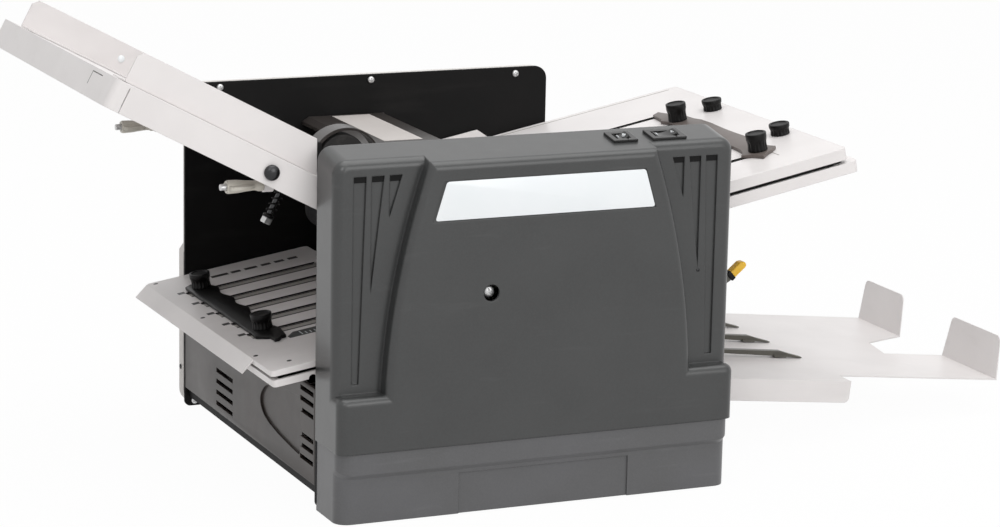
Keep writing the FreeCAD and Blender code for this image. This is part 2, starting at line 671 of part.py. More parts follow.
def make_switches():
    """Two panel rocker switches: one bezel group and a rocker each."""
    bezels = new_body("switch_bezels")
    put_on_cover_top(bezels)
    outer = [box_outline(low, high, "switch_near", "switch_far") for low, high in SWITCHES.values()]
    slab(bezels, "XY", "0.1", "2.2", *outer)
    sleeves = [box_outline(f"{low} + bezel_rim + 0.3", f"{high} - bezel_rim - 0.3",
                           "switch_near + bezel_rim + 0.3", "switch_far - bezel_rim - 0.3")
               for low, high in SWITCHES.values()]
    slab(bezels, "XY", "-9", "0.1", *sleeves)
    wells = [box_outline(f"{low} + 4.5", f"{high} - 4.5", "switch_near + 4.5", "switch_far - 4.5")
             for low, high in SWITCHES.values()]
    cut_slab(bezels, "XY", "-8", "2.2", *wells)
    for label, (low, high) in SWITCHES.items():
        rocker = new_body(label)
        put_on_cover_top(rocker)
        middle = f"({low} + {high}) / 2"
        slab(rocker, "XZ", "switch_near + 5.3", "switch_far - 5.3", [
            (f"{low} + 5.6", "2.4"), (f"{low} + 7", "-5"), (f"{high} - 7", "-5"),
            (f"{high} - 6", "4.4", (middle, "1.4"))])
        disc(rocker, "XZ", "switch_near + 4.6", "switch_far - 4.6", [(middle, "0")], "1.2")


# ---------------------------------------------------------------- paper trays

def tray(label, place, outer, depth, corner):
    """Folded tray: a deck with flanges turned down all round, in table coordinates."""
    low_u, high_u, low_y, high_y = outer
    body = new_body(label, place)
    slab(body, "XY", f"-({depth})", "0", box_outline(low_u, high_u, low_y, high_y))
    cut_slab(body, "XY", f"-({depth})", "-sheet_metal",
             box_outline(f"{low_u} + sheet_metal", f"{high_u} - sheet_metal",
                         f"{low_y} + sheet_metal", f"{high_y} - sheet_metal"))
    reach, wall = value(depth), value("sheet_metal")
    round_edges(body, f"{corner} - sheet_metal",
                lambda middle, along: abs(along.z) > 0.9 and near(middle.z, -(reach + wall) / 2))
    round_edges(body, corner, lambda middle, along: abs(along.z) > 0.9 and near(middle.z, -reach / 2))
    return body


def make_feed_table():
    """Feed table: deck, deep side and end flanges, guide slots and the wheel's window."""
    body = tray("feed_table", FEED_TABLE, ("0", "feed_length", "table_near", "table_far"), "feed_flange", "7")
    cut_slab(body, "XY", "-feed_flange", "-7",
             box_outline("feed_flange_end", "feed_length + 1", "table_near - 1", "table_far + 1"))
    cut_slab(body, "XY", "-feed_flange", "-sheet_metal",
             box_outline("feed_length - 4", "feed_length + 1", "table_near - 1", "table_far + 1"))
    bore(body, "XZ", "table_near", "table_far", [("pivot_down", "pivot_under")], "4 + free_play")
    stud_low, stud_high = "guide_stud - 3.3", "guide_stud + 3.3"
    cut_slab(body, "XY", "-sheet_metal", "0",
             box_outline(stud_low, stud_high, "near_guide_y + 14.5", "near_guide_y + 21.5 + guide_travel"),
             box_outline(stud_low, stud_high, "far_guide_y - 21.5 - guide_travel", "far_guide_y - 14.5"),
             box_outline("203", "feed_length - 12", "centre_y - 16", "centre_y + 16"))
    cut_slab(body, "XY", "-7", "-4",
             box_outline("support_down - 12", "support_down + 12", "table_near - 1", "table_far + 1"))
    cut_slab(body, "XZ", "table_near", "table_near + sheet_metal",
             box_outline("12.6", "13.4", "-feed_flange", "-3"))


def feed_down(across, high):
    """Distance down the feed table's slope of a point of the machine frame."""
    return (f"(({across}) - feed_x) * cos(feed_tilt * 1deg)"
            f" - (({high}) - feed_z) * sin(feed_tilt * 1deg)")


def feed_above(across, high):
    """Distance above the feed table's deck of a point of the machine frame."""
    return (f"(({across}) - feed_x) * sin(feed_tilt * 1deg)"
            f" + (({high}) - feed_z) * cos(feed_tilt * 1deg)")


def level_disc(body, start, end, along_y, radius):
    """Round level stud on a piece of the feed table, along the machine's X axis."""
    sketch = body.newObject("Sketcher::SketchObject", body.Label + "_stud_sketch")
    base = [item for item in body.Origin.OriginFeatures if item.Role == "YZ_Plane"][0]
    sketch.AttachmentSupport = [(base, "")]
    sketch.MapMode = "FlatFace"
    sketch.AttachmentOffset = FreeCAD.Placement(
        FreeCAD.Vector(), FreeCAD.Rotation(FreeCAD.Vector(1, 0, 0), 1))
    bind(sketch, "AttachmentOffset.Base.x", along_y)
    bind(sketch, "AttachmentOffset.Base.y", feed_above(start, "nut_z"))
    bind(sketch, "AttachmentOffset.Base.z", feed_down(start, "nut_z"))
    bind(sketch, "AttachmentOffset.Rotation.Angle", "-feed_tilt")
    draw_circles(sketch, [("0", "0")], radius)
    pad = body.newObject("PartDesign::Pad", body.Label + "_stud")
    pad.Profile = sketch
    bind(pad, "Length", f"({end}) - ({start})")
    body.Tip = pad


def make_guides():
    """Angle guides that slide across the feed table, each with a clamp stud under it."""
    for label, wall, foot, start, stud in (
            ("near_guide", ("near_guide_y", "near_guide_y + sheet_metal"),
             ("near_guide_y", "near_guide_y + 32"), "guide_start", "near_guide_y + 18"),
            ("far_guide", ("far_guide_y - sheet_metal", "far_guide_y"),
             ("far_guide_y - 32", "far_guide_y"), "guide_start + 6", "far_guide_y - 18")):
        body = new_body(label, FEED_TABLE)
        slab(body, "XZ", wall[0], wall[1], [
            (start, "free_play"), ("guide_end", "free_play"),
            ("guide_end - guide_height * tan(feed_tilt * 1deg)", "free_play + guide_height"),
            (f"{start} + 5", "free_play + guide_height"), (start, "free_play + guide_height - 5")])
        slab(body, "XY", "free_play", "free_play + 1.2", box_outline(start, "guide_end", foot[0], foot[1]))
        disc(body, "XY", feed_above("nut_x + 4.3", "nut_z"), "free_play", [("guide_stud", stud)], "2.9")
        disc(body, "XY", "-sheet_metal - 4", "-sheet_metal - free_play", [("guide_stud", stud)], "8")
        level_disc(body, "nut_x + 0.3", "nut_x + 8.3", stud, "6")
        level_disc(body, "nut_x - nut_long - 5", "nut_x + 0.3", stud, "2.5")


def wing_nut(label, stud):
    """Moulded wing nut on a guide's level stud: a flared hub and two flat wings."""
    body = new_body(label, ("row_shift_x + nut_x", f"row_shift_y + {stud}", "nut_z", "-90"))
    turned(body, [("2.5 + free_play", "0"), ("5", "0"), ("5", "4"), ("4.2", "8"), ("6.8", "nut_long - 8"),
                  ("7", "nut_long - 1"), ("6", "nut_long"), ("2.5 + free_play", "nut_long")])
    for side in ("-1", "1"):
        slab(body, "YZ", "-1.6", "1.6", [
            (f"{side} * 3.4", "8"), (f"{side} * 4.6", "8"), (f"{side} * 11", "nut_long - 9"),
            (f"{side} * 11", "nut_long - 3"), (f"{side} * 9", "nut_long - 1"), (f"{side} * 3.4", "nut_long - 1")])


def make_table_arms():
    """Flat arms on the support rod that carry the feed table's pivots."""
    body = new_body("table_arms", FEED_TABLE)
    outline = [("pivot_down - 8", "-21"), ("support_down + 9", "-21"), ("support_down + 9", "-8"),
               ("pivot_down - 8", "-8")]
    slab(body, "XZ", "table_near + 3", "table_near + 6", outline)
    slab(body, "XZ", "table_far - 6", "table_far - 3", outline)
    bore(body, "XZ", "table_near + 3", "table_far - 3", [("pivot_down", "pivot_under")], "4")
    bore(body, "XZ", "table_near + 3", "table_far - 3", [("support_down", "support_under")], "rod_radius")


def make_pivot_screws():
    """Round-headed pivot screws through the feed table's flanges."""
    body = new_body("table_pivot_screws", FEED_TABLE)
    axis = [("pivot_down", "pivot_under")]
    disc(body, "XZ", "table_near - 0.5", "table_near + 6", axis, "4")
    disc(body, "XZ", "table_near - 5", "table_near - 0.5", axis, "6.5")
    disc(body, "XZ", "table_far - 6", "table_far + 0.5", axis, "4")
    disc(body, "XZ", "table_far + 0.5", "table_far + 5", axis, "6.5")
    faces = (value("table_near - 5"), value("table_far + 5"))
    round_edges(body, "3.5", lambda middle, along: near(middle.y, faces[0]) or near(middle.y, faces[1]))


# ---------------------------------------------------------------- feed and separator

def make_feed_hood():
    """Bent cover over the upper rollers, with an arched guard round the feed wheel."""
    body = new_body("feed_hood")
    slab(body, "XZ", "plate_thick + 1", "frame_gap - 1", [
        ("-66", "262"), ("-60", "266"), ("12", "266"), ("17", "262"), ("17", "244"), ("14.5", "244"),
        ("14.5", "261"), ("11", "263.5"), ("-59", "263.5"), ("-66", "259")])
    slab(body, "XZ", "centre_y - 8", "centre_y + 12", [
        ("-60", "266", ("feed_shaft_x", "feed_shaft_z + 27")), ("-124", "254"), ("-121.5", "254",
         ("feed_shaft_x", "feed_shaft_z + 24.5")), ("-60", "263.5")])


def make_feed_shaft():
    """Feed shaft with its belt pulley behind the far plate."""
    body = new_body("feed_shaft")
    disc(body, "XZ", "-6", "frame_gap + 14", [FEED_AXIS], "shaft_radius")
    disc(body, "XZ", "frame_gap + 6.5", "frame_gap + 13.5", [FEED_AXIS], "feed_pulley_radius")


def make_feed_wheel():
    """Soft rubber feed wheel with a hub either side."""
    body = new_body("feed_wheel")
    disc(body, "XZ", "centre_y - 6", "centre_y + 10", [FEED_AXIS], "feed_wheel_radius")
    edges = (value("centre_y - 6"), value("centre_y + 10"))
    round_edges(body, "2", lambda middle, along: near(middle.y, edges[0]) or near(middle.y, edges[1]))
    disc(body, "XZ", "centre_y - 13", "centre_y + 17", [FEED_AXIS], "9")
    bore(body, "XZ", "centre_y - 13", "centre_y + 17", [FEED_AXIS], "shaft_radius")


def make_separator():
    """Retard pad under the feed wheel, its spring bolt and spring."""
    pad = new_body("separator_pad", FEED_TABLE)
    slab(pad, "XZ", "centre_y - 14", "centre_y + 14", [
        ("244", "-1"), ("262", "pad_top"), ("284", "pad_top"), ("294", "-1"), ("294", "-5"), ("268", "-9"),
        ("244", "-9")])
    centre = [("214", "centre_y - 53.5")]
    slab(pad, "XY", "-8.4", "-6", [
        ("206", "centre_y - 60"), ("222", "centre_y - 60"), ("222", "centre_y - 8"), ("244.5", "centre_y - 8"),
        ("244.5", "centre_y + 8"), ("206", "centre_y + 8")])
    bore(pad, "XY", "-8.4", "-6", centre, "2.5")
    bolt = new_body("separator_bolt", FEED_TABLE)
    disc(bolt, "XY", "-52", "-6", centre, "2.5")
    disc(bolt, "XY", "-6", "-5.3", centre, "4.5")
    disc(bolt, "XY", "-56", "-48", centre, "5")
    spring = doc.addObject("Part::Helix", "spring_path")
    spring.Pitch = 5.25
    spring.Height = 36.75
    spring.Radius = 4.2
    section = doc.addObject("Part::Circle", "spring_wire")
    section.Radius = 0.6
    section.Placement = FreeCAD.Placement(
        FreeCAD.Vector(4.2, 0, 0), FreeCAD.Rotation(FreeCAD.Vector(1, 0, 0), 90))
    coil = doc.addObject("Part::Sweep", "separator_spring")
    coil.Label = "separator_spring"
    coil.Sections = [section]
    coil.Spine = (spring, [])
    coil.Solid = True
    coil.Frenet = True
    shift = ("row_shift_x + feed_x + 214 * cos(feed_tilt * 1deg) - 46.9 * sin(feed_tilt * 1deg)",
             "row_shift_y + centre_y - 53.5",
             "feed_z - 214 * sin(feed_tilt * 1deg) - 46.9 * cos(feed_tilt * 1deg)", "feed_tilt")
    put(coil, shift)
    sub_parts.append(coil)


# ---------------------------------------------------------------- rollers and drive

def make_rollers():
    """Four turned fold rollers with journals through both side plates."""
    for number, axis in ROLLER_AXES.items():
        body = new_body(f"fold_roller_{number}")
        journal_end = {1: "frame_gap + 14", 4: "frame_gap + 8"}.get(number, "frame_gap + 8")
        journal_start = "-34" if number == 4 else "-14"
        disc(body, "XZ", journal_start, journal_end, [axis], "shaft_radius")
        disc(body, "XZ", "plate_thick + 5", "frame_gap - 5", [axis], "roller_radius")
        if number == 1:
            disc(body, "XZ", "frame_gap + 6.5", "frame_gap + 13.5", [axis], "feed_pulley_radius")


def tooth_angle(number):
    """Angle of a gear's first tooth above +X that puts it in mesh with its neighbour."""
    if number == 2:
        return 0.0
    neighbour, line = {
        1: (2, 90 - value("nip_1_lean")),
        3: (2, -value("nip_2_lean")),
        4: (3, 270 - value("nip_3_lean"))}[number]
    return 2 * line + 180 + 180 / value("gear_teeth") - tooth_angle(neighbour)


def make_gear(number):
    """Spur gear: a root disc and one tooth repeated round it, turned into mesh."""
    body = doc.addObject("PartDesign::Body", f"roller_gear_{number}")
    body.Label = f"roller_gear_{number}"
    axis = ROLLER_AXES[number]
    body.Placement = FreeCAD.Placement(FreeCAD.Vector(), FreeCAD.Rotation(FreeCAD.Vector(0, 1, 0), 1))
    bind(body, "Placement.Base.x", f"row_shift_x + {axis[0]}")
    bind(body, "Placement.Base.y", "row_shift_y")
    bind(body, "Placement.Base.z", axis[1])
    bind(body, "Placement.Rotation.Angle", f"{-tooth_angle(number)}")
    sub_parts.append(body)
    low, high = "-4 - gear_width", "-4"
    root = "gear_module * gear_teeth / 2 - 2.2"
    disc(body, "XZ", low, high, [("0", "0")], root)
    tooth = slab(body, "XZ", low, high, [
        (f"{root} - 1", "-1.95"), ("gear_module * gear_teeth / 2 + 1.5", "-0.75"),
        ("gear_module * gear_teeth / 2 + 1.5", "0.75"), (f"{root} - 1", "1.95")])
    doc.recompute()
    pattern = body.newObject("PartDesign::PolarPattern", body.Label + "_teeth")
    pattern.Originals = [tooth]
    pattern.Axis = ([item for item in body.Origin.OriginFeatures if item.Role == "Y_Axis"][0], [""])
    pattern.Angle = 360
    bind(pattern, "Occurrences", "gear_teeth")
    body.Tip = pattern
    bore(body, "XZ", low, high, [("0", "0")], "shaft_radius")


def make_pulleys():
    """Drive pulley on roller 4 and the motor's shaft with its pulley."""
    drive = new_body("drive_pulley")
    disc(drive, "XZ", "-30", "-18", [ROLLER_AXES[4]], "drive_pulley_radius")
    disc(drive, "XZ", "-32", "-30", [ROLLER_AXES[4]], "drive_pulley_radius + 3")
    disc(drive, "XZ", "-18", "-16", [ROLLER_AXES[4]], "drive_pulley_radius + 3")
    bore(drive, "XZ", "-32", "-16", [ROLLER_AXES[4]], "shaft_radius")
    motor = new_body("motor_pulley")
    disc(motor, "XZ", "-34", "26", [MOTOR_AXIS], "4")
    disc(motor, "XZ", "-30", "-18", [MOTOR_AXIS], "motor_pulley_radius")
    disc(motor, "XZ", "-18", "-16", [MOTOR_AXIS], "motor_pulley_radius + 3")


def make_exit_roller():
    """Exit shaft with grip rings along it and a pulley in the near cover."""
    body = new_body("exit_roller")
    disc(body, "XZ", "-34", "frame_gap + 6", [EXIT_AXIS], "shaft_radius")
    disc(body, "XZ", "-30", "-18", [EXIT_AXIS], "exit_pulley_radius")
    for start in ("52", "122", "202", "272"):
        disc(body, "XZ", start, f"{start} + 16", [EXIT_AXIS], "exit_radius")


def belt_corners(wheels, extra):
    """Outline of a belt round wheels, given as centre and radius, in turning order.

    Each straight run is the outer tangent of two wheels and each wheel adds an arc.
    """
    points = []
    count = len(wheels)
    for index in range(count):
        (x_a, z_a, r_a), (x_b, z_b, r_b) = wheels[index], wheels[(index + 1) % count]
        span = math.hypot(x_b - x_a, z_b - z_a)
        heading = math.atan2(z_b - z_a, x_b - x_a)
        lean = math.asin((r_b - r_a) / span)
        out = heading - math.pi / 2 - lean
        points.append((index, out))
    corners = []
    for index in range(count):
        x_c, z_c, r_c = wheels[index]
        arrive = points[index - 1][1]
        leave = points[index][1]
        while leave < arrive:
            leave += 2 * math.pi
        half = (arrive + leave) / 2
        radius = r_c + extra
        for angle in (arrive, half, leave):
            corners.append((x_c + radius * math.cos(angle), z_c + radius * math.sin(angle)))
    return corners


def belt(label, low, high, wheels):
    """Closed flat belt round its pulleys, from runs and arcs."""
    numbers = [(value(axis[0]), value(axis[1]), value(radius)) for axis, radius in wheels]
    loops = []
    for extra in (value("free_play") + value("belt_thick"), value("free_play")):
        corners = belt_corners(numbers, extra)
        edges = []
        for index in range(0, len(corners), 3):
            first, middle, last = [FreeCAD.Vector(x, low, z) for x, z in corners[index:index + 3]]
            following = corners[(index + 3) % len(corners)]
            edges.append(Part.Arc(first, middle, last).toShape())
            edges.append(Part.LineSegment(last, FreeCAD.Vector(following[0], low, following[1])).toShape())
        loops.append(Part.Face(Part.Wire(edges)))
    band = loops[0].cut(loops[1])
    feature = doc.addObject("Part::Feature", label)
    feature.Label = label
    feature.Shape = band.extrude(FreeCAD.Vector(0, high - low, 0)).Solids[0]
    put(feature, MACHINE)
    sub_parts.append(feature)


def make_belts():
    """Drive belt in the near cover and feed belt behind the far plate."""
    belt("drive_belt", -29, -19, [(MOTOR_AXIS, "motor_pulley_radius"), (EXIT_AXIS, "exit_pulley_radius"),
                                  (ROLLER_AXES[4], "drive_pulley_radius")])
    start = value("frame_gap")
    belt("feed_belt", start + 7, start + 13, [(ROLLER_AXES[1], "feed_pulley_radius"),
                                              (FEED_AXIS, "feed_pulley_radius")])


def make_motor():
    """Induction motor on a round face flange against the near plate."""
    body = new_body("drive_motor")
    disc(body, "XZ", "plate_thick + 6", "plate_thick + 6 + motor_length", [MOTOR_AXIS], "motor_radius")
    ends = (value("plate_thick + 6"), value("plate_thick + 6 + motor_length"))
    round_edges(body, "5", lambda middle, along: near(middle.y, ends[0]) or near(middle.y, ends[1]))
    disc(body, "XZ", "plate_thick", "plate_thick + 6", [MOTOR_AXIS], "motor_radius - 9")
    bore(body, "XZ", "plate_thick", "plate_thick + 26", [MOTOR_AXIS], "4 + free_play")
    slab(body, "XY", "pan_height + sheet_metal", "motor_z - 20",
         box_outline("motor_x - 26", "motor_x + 26", "plate_thick + 30", "plate_thick + 90"))


# ---------------------------------------------------------------- fold tables

def slot_rows(table, rows):
    """Y positions of the stop slots of table 1 or 2, counted from the near side."""
    return [f"row_centre_{table} + ({row} - 2.5) * row_pitch_{table}" for row in rows]


def slots(table, rows, low, high):
    """Outlines of stop slots along the table."""
    return [box_outline(low, high, f"{row} - slot_width / 2", f"{row} + slot_width / 2")
            for row in slot_rows(table, rows)]


UPPER_1 = ("row_shift_x + table_1_x - (channel + table_1_flange) * sin(table_1_rise * 1deg)",
           "row_shift_y",
           "table_1_z + (channel + table_1_flange) * cos(table_1_rise * 1deg)", "-table_1_rise")
UPPER_2 = ("row_shift_x + table_2_x - (channel + table_2_flange) * sin(table_2_rise * 1deg)",
           "row_shift_y",
           "table_2_z + (channel + table_2_flange) * cos(table_2_rise * 1deg)", "-table_2_rise")
LOCK_ROWS = ("97", "228")


def make_fold_table_1():
    """Upper right fold table: two folded plates with the paper gap between them."""
    upper = tray("fold_table_1_upper", UPPER_1, ("0", "table_1_upper", "table_near", "table_far"),
                 "table_1_flange", "6")
    cut_slab(upper, "XY", "-sheet_metal", "0", *slots(1, (0, 4), "90", "table_1_upper - 46"),
             *slots(1, (1, 2, 3, 5), "30", "table_1_upper - 62"))
    slab(upper, "XZ", "table_far - sheet_metal", "table_far", [
        ("78", "0"), ("134", "0"), ("124", "10"), ("86", "10")])
    slab(upper, "XZ", "table_near", "table_near + sheet_metal", [
        ("78", "0"), ("134", "0"), ("124", "10"), ("86", "10")])
    disc(upper, "XY", "-sheet_metal", "5", [("short_knob", row) for row in LOCK_ROWS], "2.5")
    tray("fold_table_1_lower", TABLE_1, ("0", "table_1_lower", "table_near", "table_far"),
         "table_1_flange", "6")


def make_fold_table_2():
    """Lower left fold table: the same construction, shallower, with a sloping end lip."""
    upper = tray("fold_table_2_upper", UPPER_2, ("-table_2_upper", "0", "table_near", "table_far"),
                 "table_2_flange", "4")
    cut_slab(upper, "XY", "-sheet_metal", "0", *slots(2, range(1, 6), "-table_2_upper + 19", "-12"))
    slab(upper, "XZ", "table_near + 44", "table_far - 2", [
        ("-table_2_upper", "0"), ("-table_2_upper - 12", "-9"), ("-table_2_upper - 11", "-10.3"),
        ("-table_2_upper", "-2")])
    lower = tray("fold_table_2_lower", TABLE_2, ("-table_2_lower", "0", "table_near", "table_far"),
                 "table_2_flange + 1", "4")
    bore(lower, "XZ", "table_near", "table_near + sheet_metal", [("-table_2_lower + 34", "-6")], "3.4")


def stop_bar(label, place, table, rows, half_width, under, over, reach):
    """Stop bar that lies on the table's deck, with a stop tooth down through each slot."""
    middle = f"table_{table}_bar"
    low, high = slot_rows(table, rows)
    body = new_body(label, place)
    slab(body, "XY", "free_play", "free_play + 3", [
        (f"{middle} - {half_width}", f"{low} - 12"), (f"{middle} + {half_width}", f"{low} - {under}"),
        (f"{middle} + {half_width}", f"{low} + 14",
         (f"{middle} + {half_width} - 6", f"({low} + {high}) / 2")),
        (f"{middle} + {half_width}", f"{high} - 14"), (f"{middle} + {half_width}", f"{high} + {over}"),
        (f"{middle} - {half_width}", f"{high} + {over}")])
    disc(body, "XY", "free_play + 3", "free_play + 10", [(middle, low), (middle, high)], "2.5")
    teeth = [box_outline(f"{middle} - 8", f"{middle} + 8", f"{row} - slot_width / 2 + free_play",
                         f"{row} + slot_width / 2 - free_play") for row in (low, high)]
    slab(body, "XY", f"-({reach})", "free_play", *teeth)
    return body


def knob(label, place, across, along_y, height, seat):
    """Fluted clamp knob: a flared turned body on its screw."""
    body = new_body(label, place)
    shift_x, shift_y, shift_z, tilt = place
    body.Placement = FreeCAD.Placement(FreeCAD.Vector(), FreeCAD.Rotation(FreeCAD.Vector(0, 1, 0), 1))
    angle = f"({tilt}) * 1deg"
    bind(body, "Placement.Base.x", f"{shift_x} + ({across}) * cos({angle}) + ({seat}) * sin({angle})")
    bind(body, "Placement.Base.y", f"{shift_y} + ({along_y})")
    bind(body, "Placement.Base.z", f"{shift_z} - ({across}) * sin({angle}) + ({seat}) * cos({angle})")
    bind(body, "Placement.Rotation.Angle", tilt)
    turned(body, [("2.5 + free_play", "0"), ("knob_waist + 0.8", "0"), ("knob_waist", f"({height}) * 0.3"),
                  ("knob_waist + 0.2", f"({height}) * 0.62"), ("knob_top", f"({height}) * 0.74"),
                  ("knob_top", f"({height}) - 1.5"), ("knob_top - 1.5", f"{height}"),
                  ("0", f"{height}"), ("0", f"({height}) * 0.62"), ("2.5 + free_play", f"({height}) * 0.62")])


def make_stops_and_knobs():
    """Stop bars of both fold tables with their clamp knobs."""
    stop_bar("stop_bar_1", UPPER_1, 1, (0, 4), 16, 12, 46, "table_1_flange + channel - 0.6")
    stop_bar("stop_bar_2", UPPER_2, 2, (1, 5), 10, 30, 12, "table_2_flange + channel - 0.6")
    for label, row in (("table_1_knob_near", 0), ("table_1_knob_far", 4)):
        knob(label, UPPER_1, "table_1_bar", slot_rows(1, (row,))[0], "tall_knob", "free_play + 3.3")
    for label, row in (("table_2_knob_near", 1), ("table_2_knob_far", 5)):
        knob(label, UPPER_2, "table_2_bar", slot_rows(2, (row,))[0], "tall_knob - 3", "free_play + 3.3")
    for label, where in zip(("lock_knob_near", "lock_knob_far"), LOCK_ROWS):
        knob(label, UPPER_1, "short_knob", where, "low_knob", "free_play")


# ---------------------------------------------------------------- exit

def make_exit_chute():
    """Bent sheet that leads folded paper from nip 3 to the exit roller."""
    body = new_body("exit_chute")
    slab(body, "XZ", "plate_thick + 2", "frame_gap - 2", [
        ("-4", "118"), ("8", "110"), ("132", "79"), ("138", "79"), ("138", "77.5"),
        ("131.8", "77.5"), ("7", "108.5"), ("-4.9", "116.8")])


def make_exit_tray():
    """Exit tray fixed between the plates, with a deep flange at each side."""
    body = new_body("exit_tray", EXIT_TRAY)
    slab(body, "YZ", "0", "tray_length", [
        ("tray_near", "-tray_flange"), ("tray_near", "0"), ("table_far", "0"), ("table_far", "-tray_flange"),
        ("table_far - sheet_metal", "-tray_flange"), ("table_far - sheet_metal", "-sheet_metal"),
        ("tray_near + sheet_metal", "-sheet_metal"), ("tray_near + sheet_metal", "-tray_flange")])
    far_end, low = value("tray_length"), -value("tray_flange")
    round_edges(body, "5", lambda middle, along: abs(along.y) > 0.9 and near(middle.x, far_end)
                and near(middle.z, low))


def make_exit_extension():
    """Sheet that slides under the tray: two tongues, each turned up into a rounded end tab."""
    body = new_body("exit_extension", EXIT_TRAY)
    near_low, near_high = "tray_near + 30", "tray_near + 126"
    far_low, far_high = "tray_near + 206", "table_far - sheet_metal - 0.5"
    level = "-sheet_metal - free_play - 1"
    slab(body, "XY", level, f"{level} + 1", [
        ("110", near_low), ("tongue_end", near_low), ("tongue_end", near_high),
        ("tongue_root - 10", near_high), ("tongue_root", "tray_near + 172"),
        ("tongue_end", far_low), ("tongue_end", far_high), ("110", far_high)])
    for low, high, lean in ((near_low, near_high, "9"), (far_low, far_high, "5")):
        slab(body, "YZ", "tongue_end - 1", "tongue_end", [
            (low, level), (high, level), (f"{high} - {lean}", "tab_height"), (f"{low} + 3", "tab_height")])
    top = value("tab_height")
    round_edges(body, "6", lambda middle, along: abs(along.x) > 0.9 and near(middle.z, top))


def make_stacker():
    """Three hold-down fingers on a cross bar, with the lever that lifts them."""
    body = new_body("stacker_arm")
    pivot = [STACKER_AXIS]
    fingers = ["finger_near", "finger_near + finger_pitch", "finger_near + 2 * finger_pitch"]
    disc(body, "XZ", "-2", "frame_gap + 5", pivot, "shaft_radius")
    for start in ["60"] + [f"{middle} - 6" for middle in fingers]:
        disc(body, "XZ", start, f"{start} + 12", pivot, "9")
    for middle in fingers:
        slab(body, "XZ", f"{middle} - 3", f"{middle} + 3", [
            ("stacker_x - 5", "stacker_z"), ("stacker_x + 5", "stacker_z + 2"), ("214", "77.5"),
            ("272", "67.8"), ("328", "61.6"), ("338", "58"), ("350.5", "54"), ("350", "53.2"), ("336", "55.5"),
            ("318", "58"), ("272", "64.2"), ("210", "72.5"), ("stacker_x + 1", "stacker_z - 8")])
        slab(body, "XZ", f"{middle} - 4.5", f"{middle} + 4.5", [
            ("321", "59"), ("321", "56.6"), ("333", "55.4"), ("335", "57.2")])
    slab(body, "XZ", "63", "69", [
        ("stacker_x + 2", "stacker_z + 5"), ("230", "156.8"), ("233.36", "158.06"), ("237.04", "153.74"),
        ("233", "150.6"), ("stacker_x + 7", "stacker_z - 2")])
    grip = new_body("stacker_grip")
    slab(grip, "XZ", "61.5", "70.5", [
        ("232.9", "158.6"), ("242.6", "167"), ("245.2", "167.4", ("248.6", "165.6")),
        ("248", "162.2"), ("237.5", "153.2")])
    round_edges(grip, "1.5", lambda middle, along: abs(along.y) < 0.1 and abs(middle.y - 66) > 4
                and middle.x > 233.5)


# ---------------------------------------------------------------- build

make_near_plate()
side_plate("far_frame_plate", "frame_gap", "frame_gap + plate_thick")
make_bearings()
make_tie_rods()
make_plate_screws()
make_near_cover()
make_lower_cover()
make_far_cover()
make_power_inlet()
make_left_end_cover()
make_right_end_cover()
make_base_pan()
make_feet()
make_switches()
make_feed_table()
make_guides()
wing_nut("near_wing_nut", "near_guide_y + 18")
wing_nut("far_wing_nut", "far_guide_y - 18")
make_table_arms()
make_pivot_screws()
make_feed_hood()
make_feed_shaft()
make_feed_wheel()
make_separator()
make_rollers()
for gear_number in ROLLER_AXES:
    make_gear(gear_number)
make_pulleys()
make_exit_roller()
make_belts()
make_motor()
make_fold_table_1()
make_fold_table_2()
make_stops_and_knobs()
make_exit_chute()
make_exit_tray()
make_exit_extension()
make_stacker()
doc.recompute()


def check_document():
    """Stop if any object failed, a pocket cut nothing or a sub-part is not valid."""
    faults = []
    for thing in doc.Objects:
        if "Invalid" in thing.State or "Error" in thing.State:
            faults.append(f"{thing.Label}: {thing.State}")
            continue
        if thing.TypeId == "PartDesign::Pocket" and thing.BaseFeature is not None:
            if thing.Shape.isNull() or thing.BaseFeature.Shape.isNull():
                faults.append(f"{thing.Label}: empty")
                continue
            if thing.Shape.Volume > thing.BaseFeature.Shape.Volume - 1e-3:
                faults.append(f"{thing.Label}: cuts nothing")
    for part in sub_parts:
        if part.Shape.isNull() or not part.Shape.isValid() or not part.Shape.Solids:
            faults.append(f"{part.Label}: no valid solid")
    if faults:
        raise RuntimeError("; ".join(faults))


check_document()
os.makedirs("parts", exist_ok=True)
for part in sub_parts:
    part.Shape.exportStep(os.path.join("parts", part.Label + ".step"))
box = FreeCAD.BoundBox()
for part in sub_parts:
    box.add(part.Shape.BoundBox)
print(len(sub_parts), "sub-parts, box", box)
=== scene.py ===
"""Looks of a desk-top paper folding machine.

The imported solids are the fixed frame. The classes here dress them and add the
knobs, screws, plates and marks that the solids leave plain. Sizes are in
millimetres in the machine's own coordinates; a Place turns them into metres.
Sizes of grain, patches and edges in the finishes are in metres.
"""

import json
import logging
import math
from dataclasses import dataclass
from enum import Enum
from typing import Callable, Optional, Sequence

import bmesh
import bpy
from mathutils import Matrix, Vector

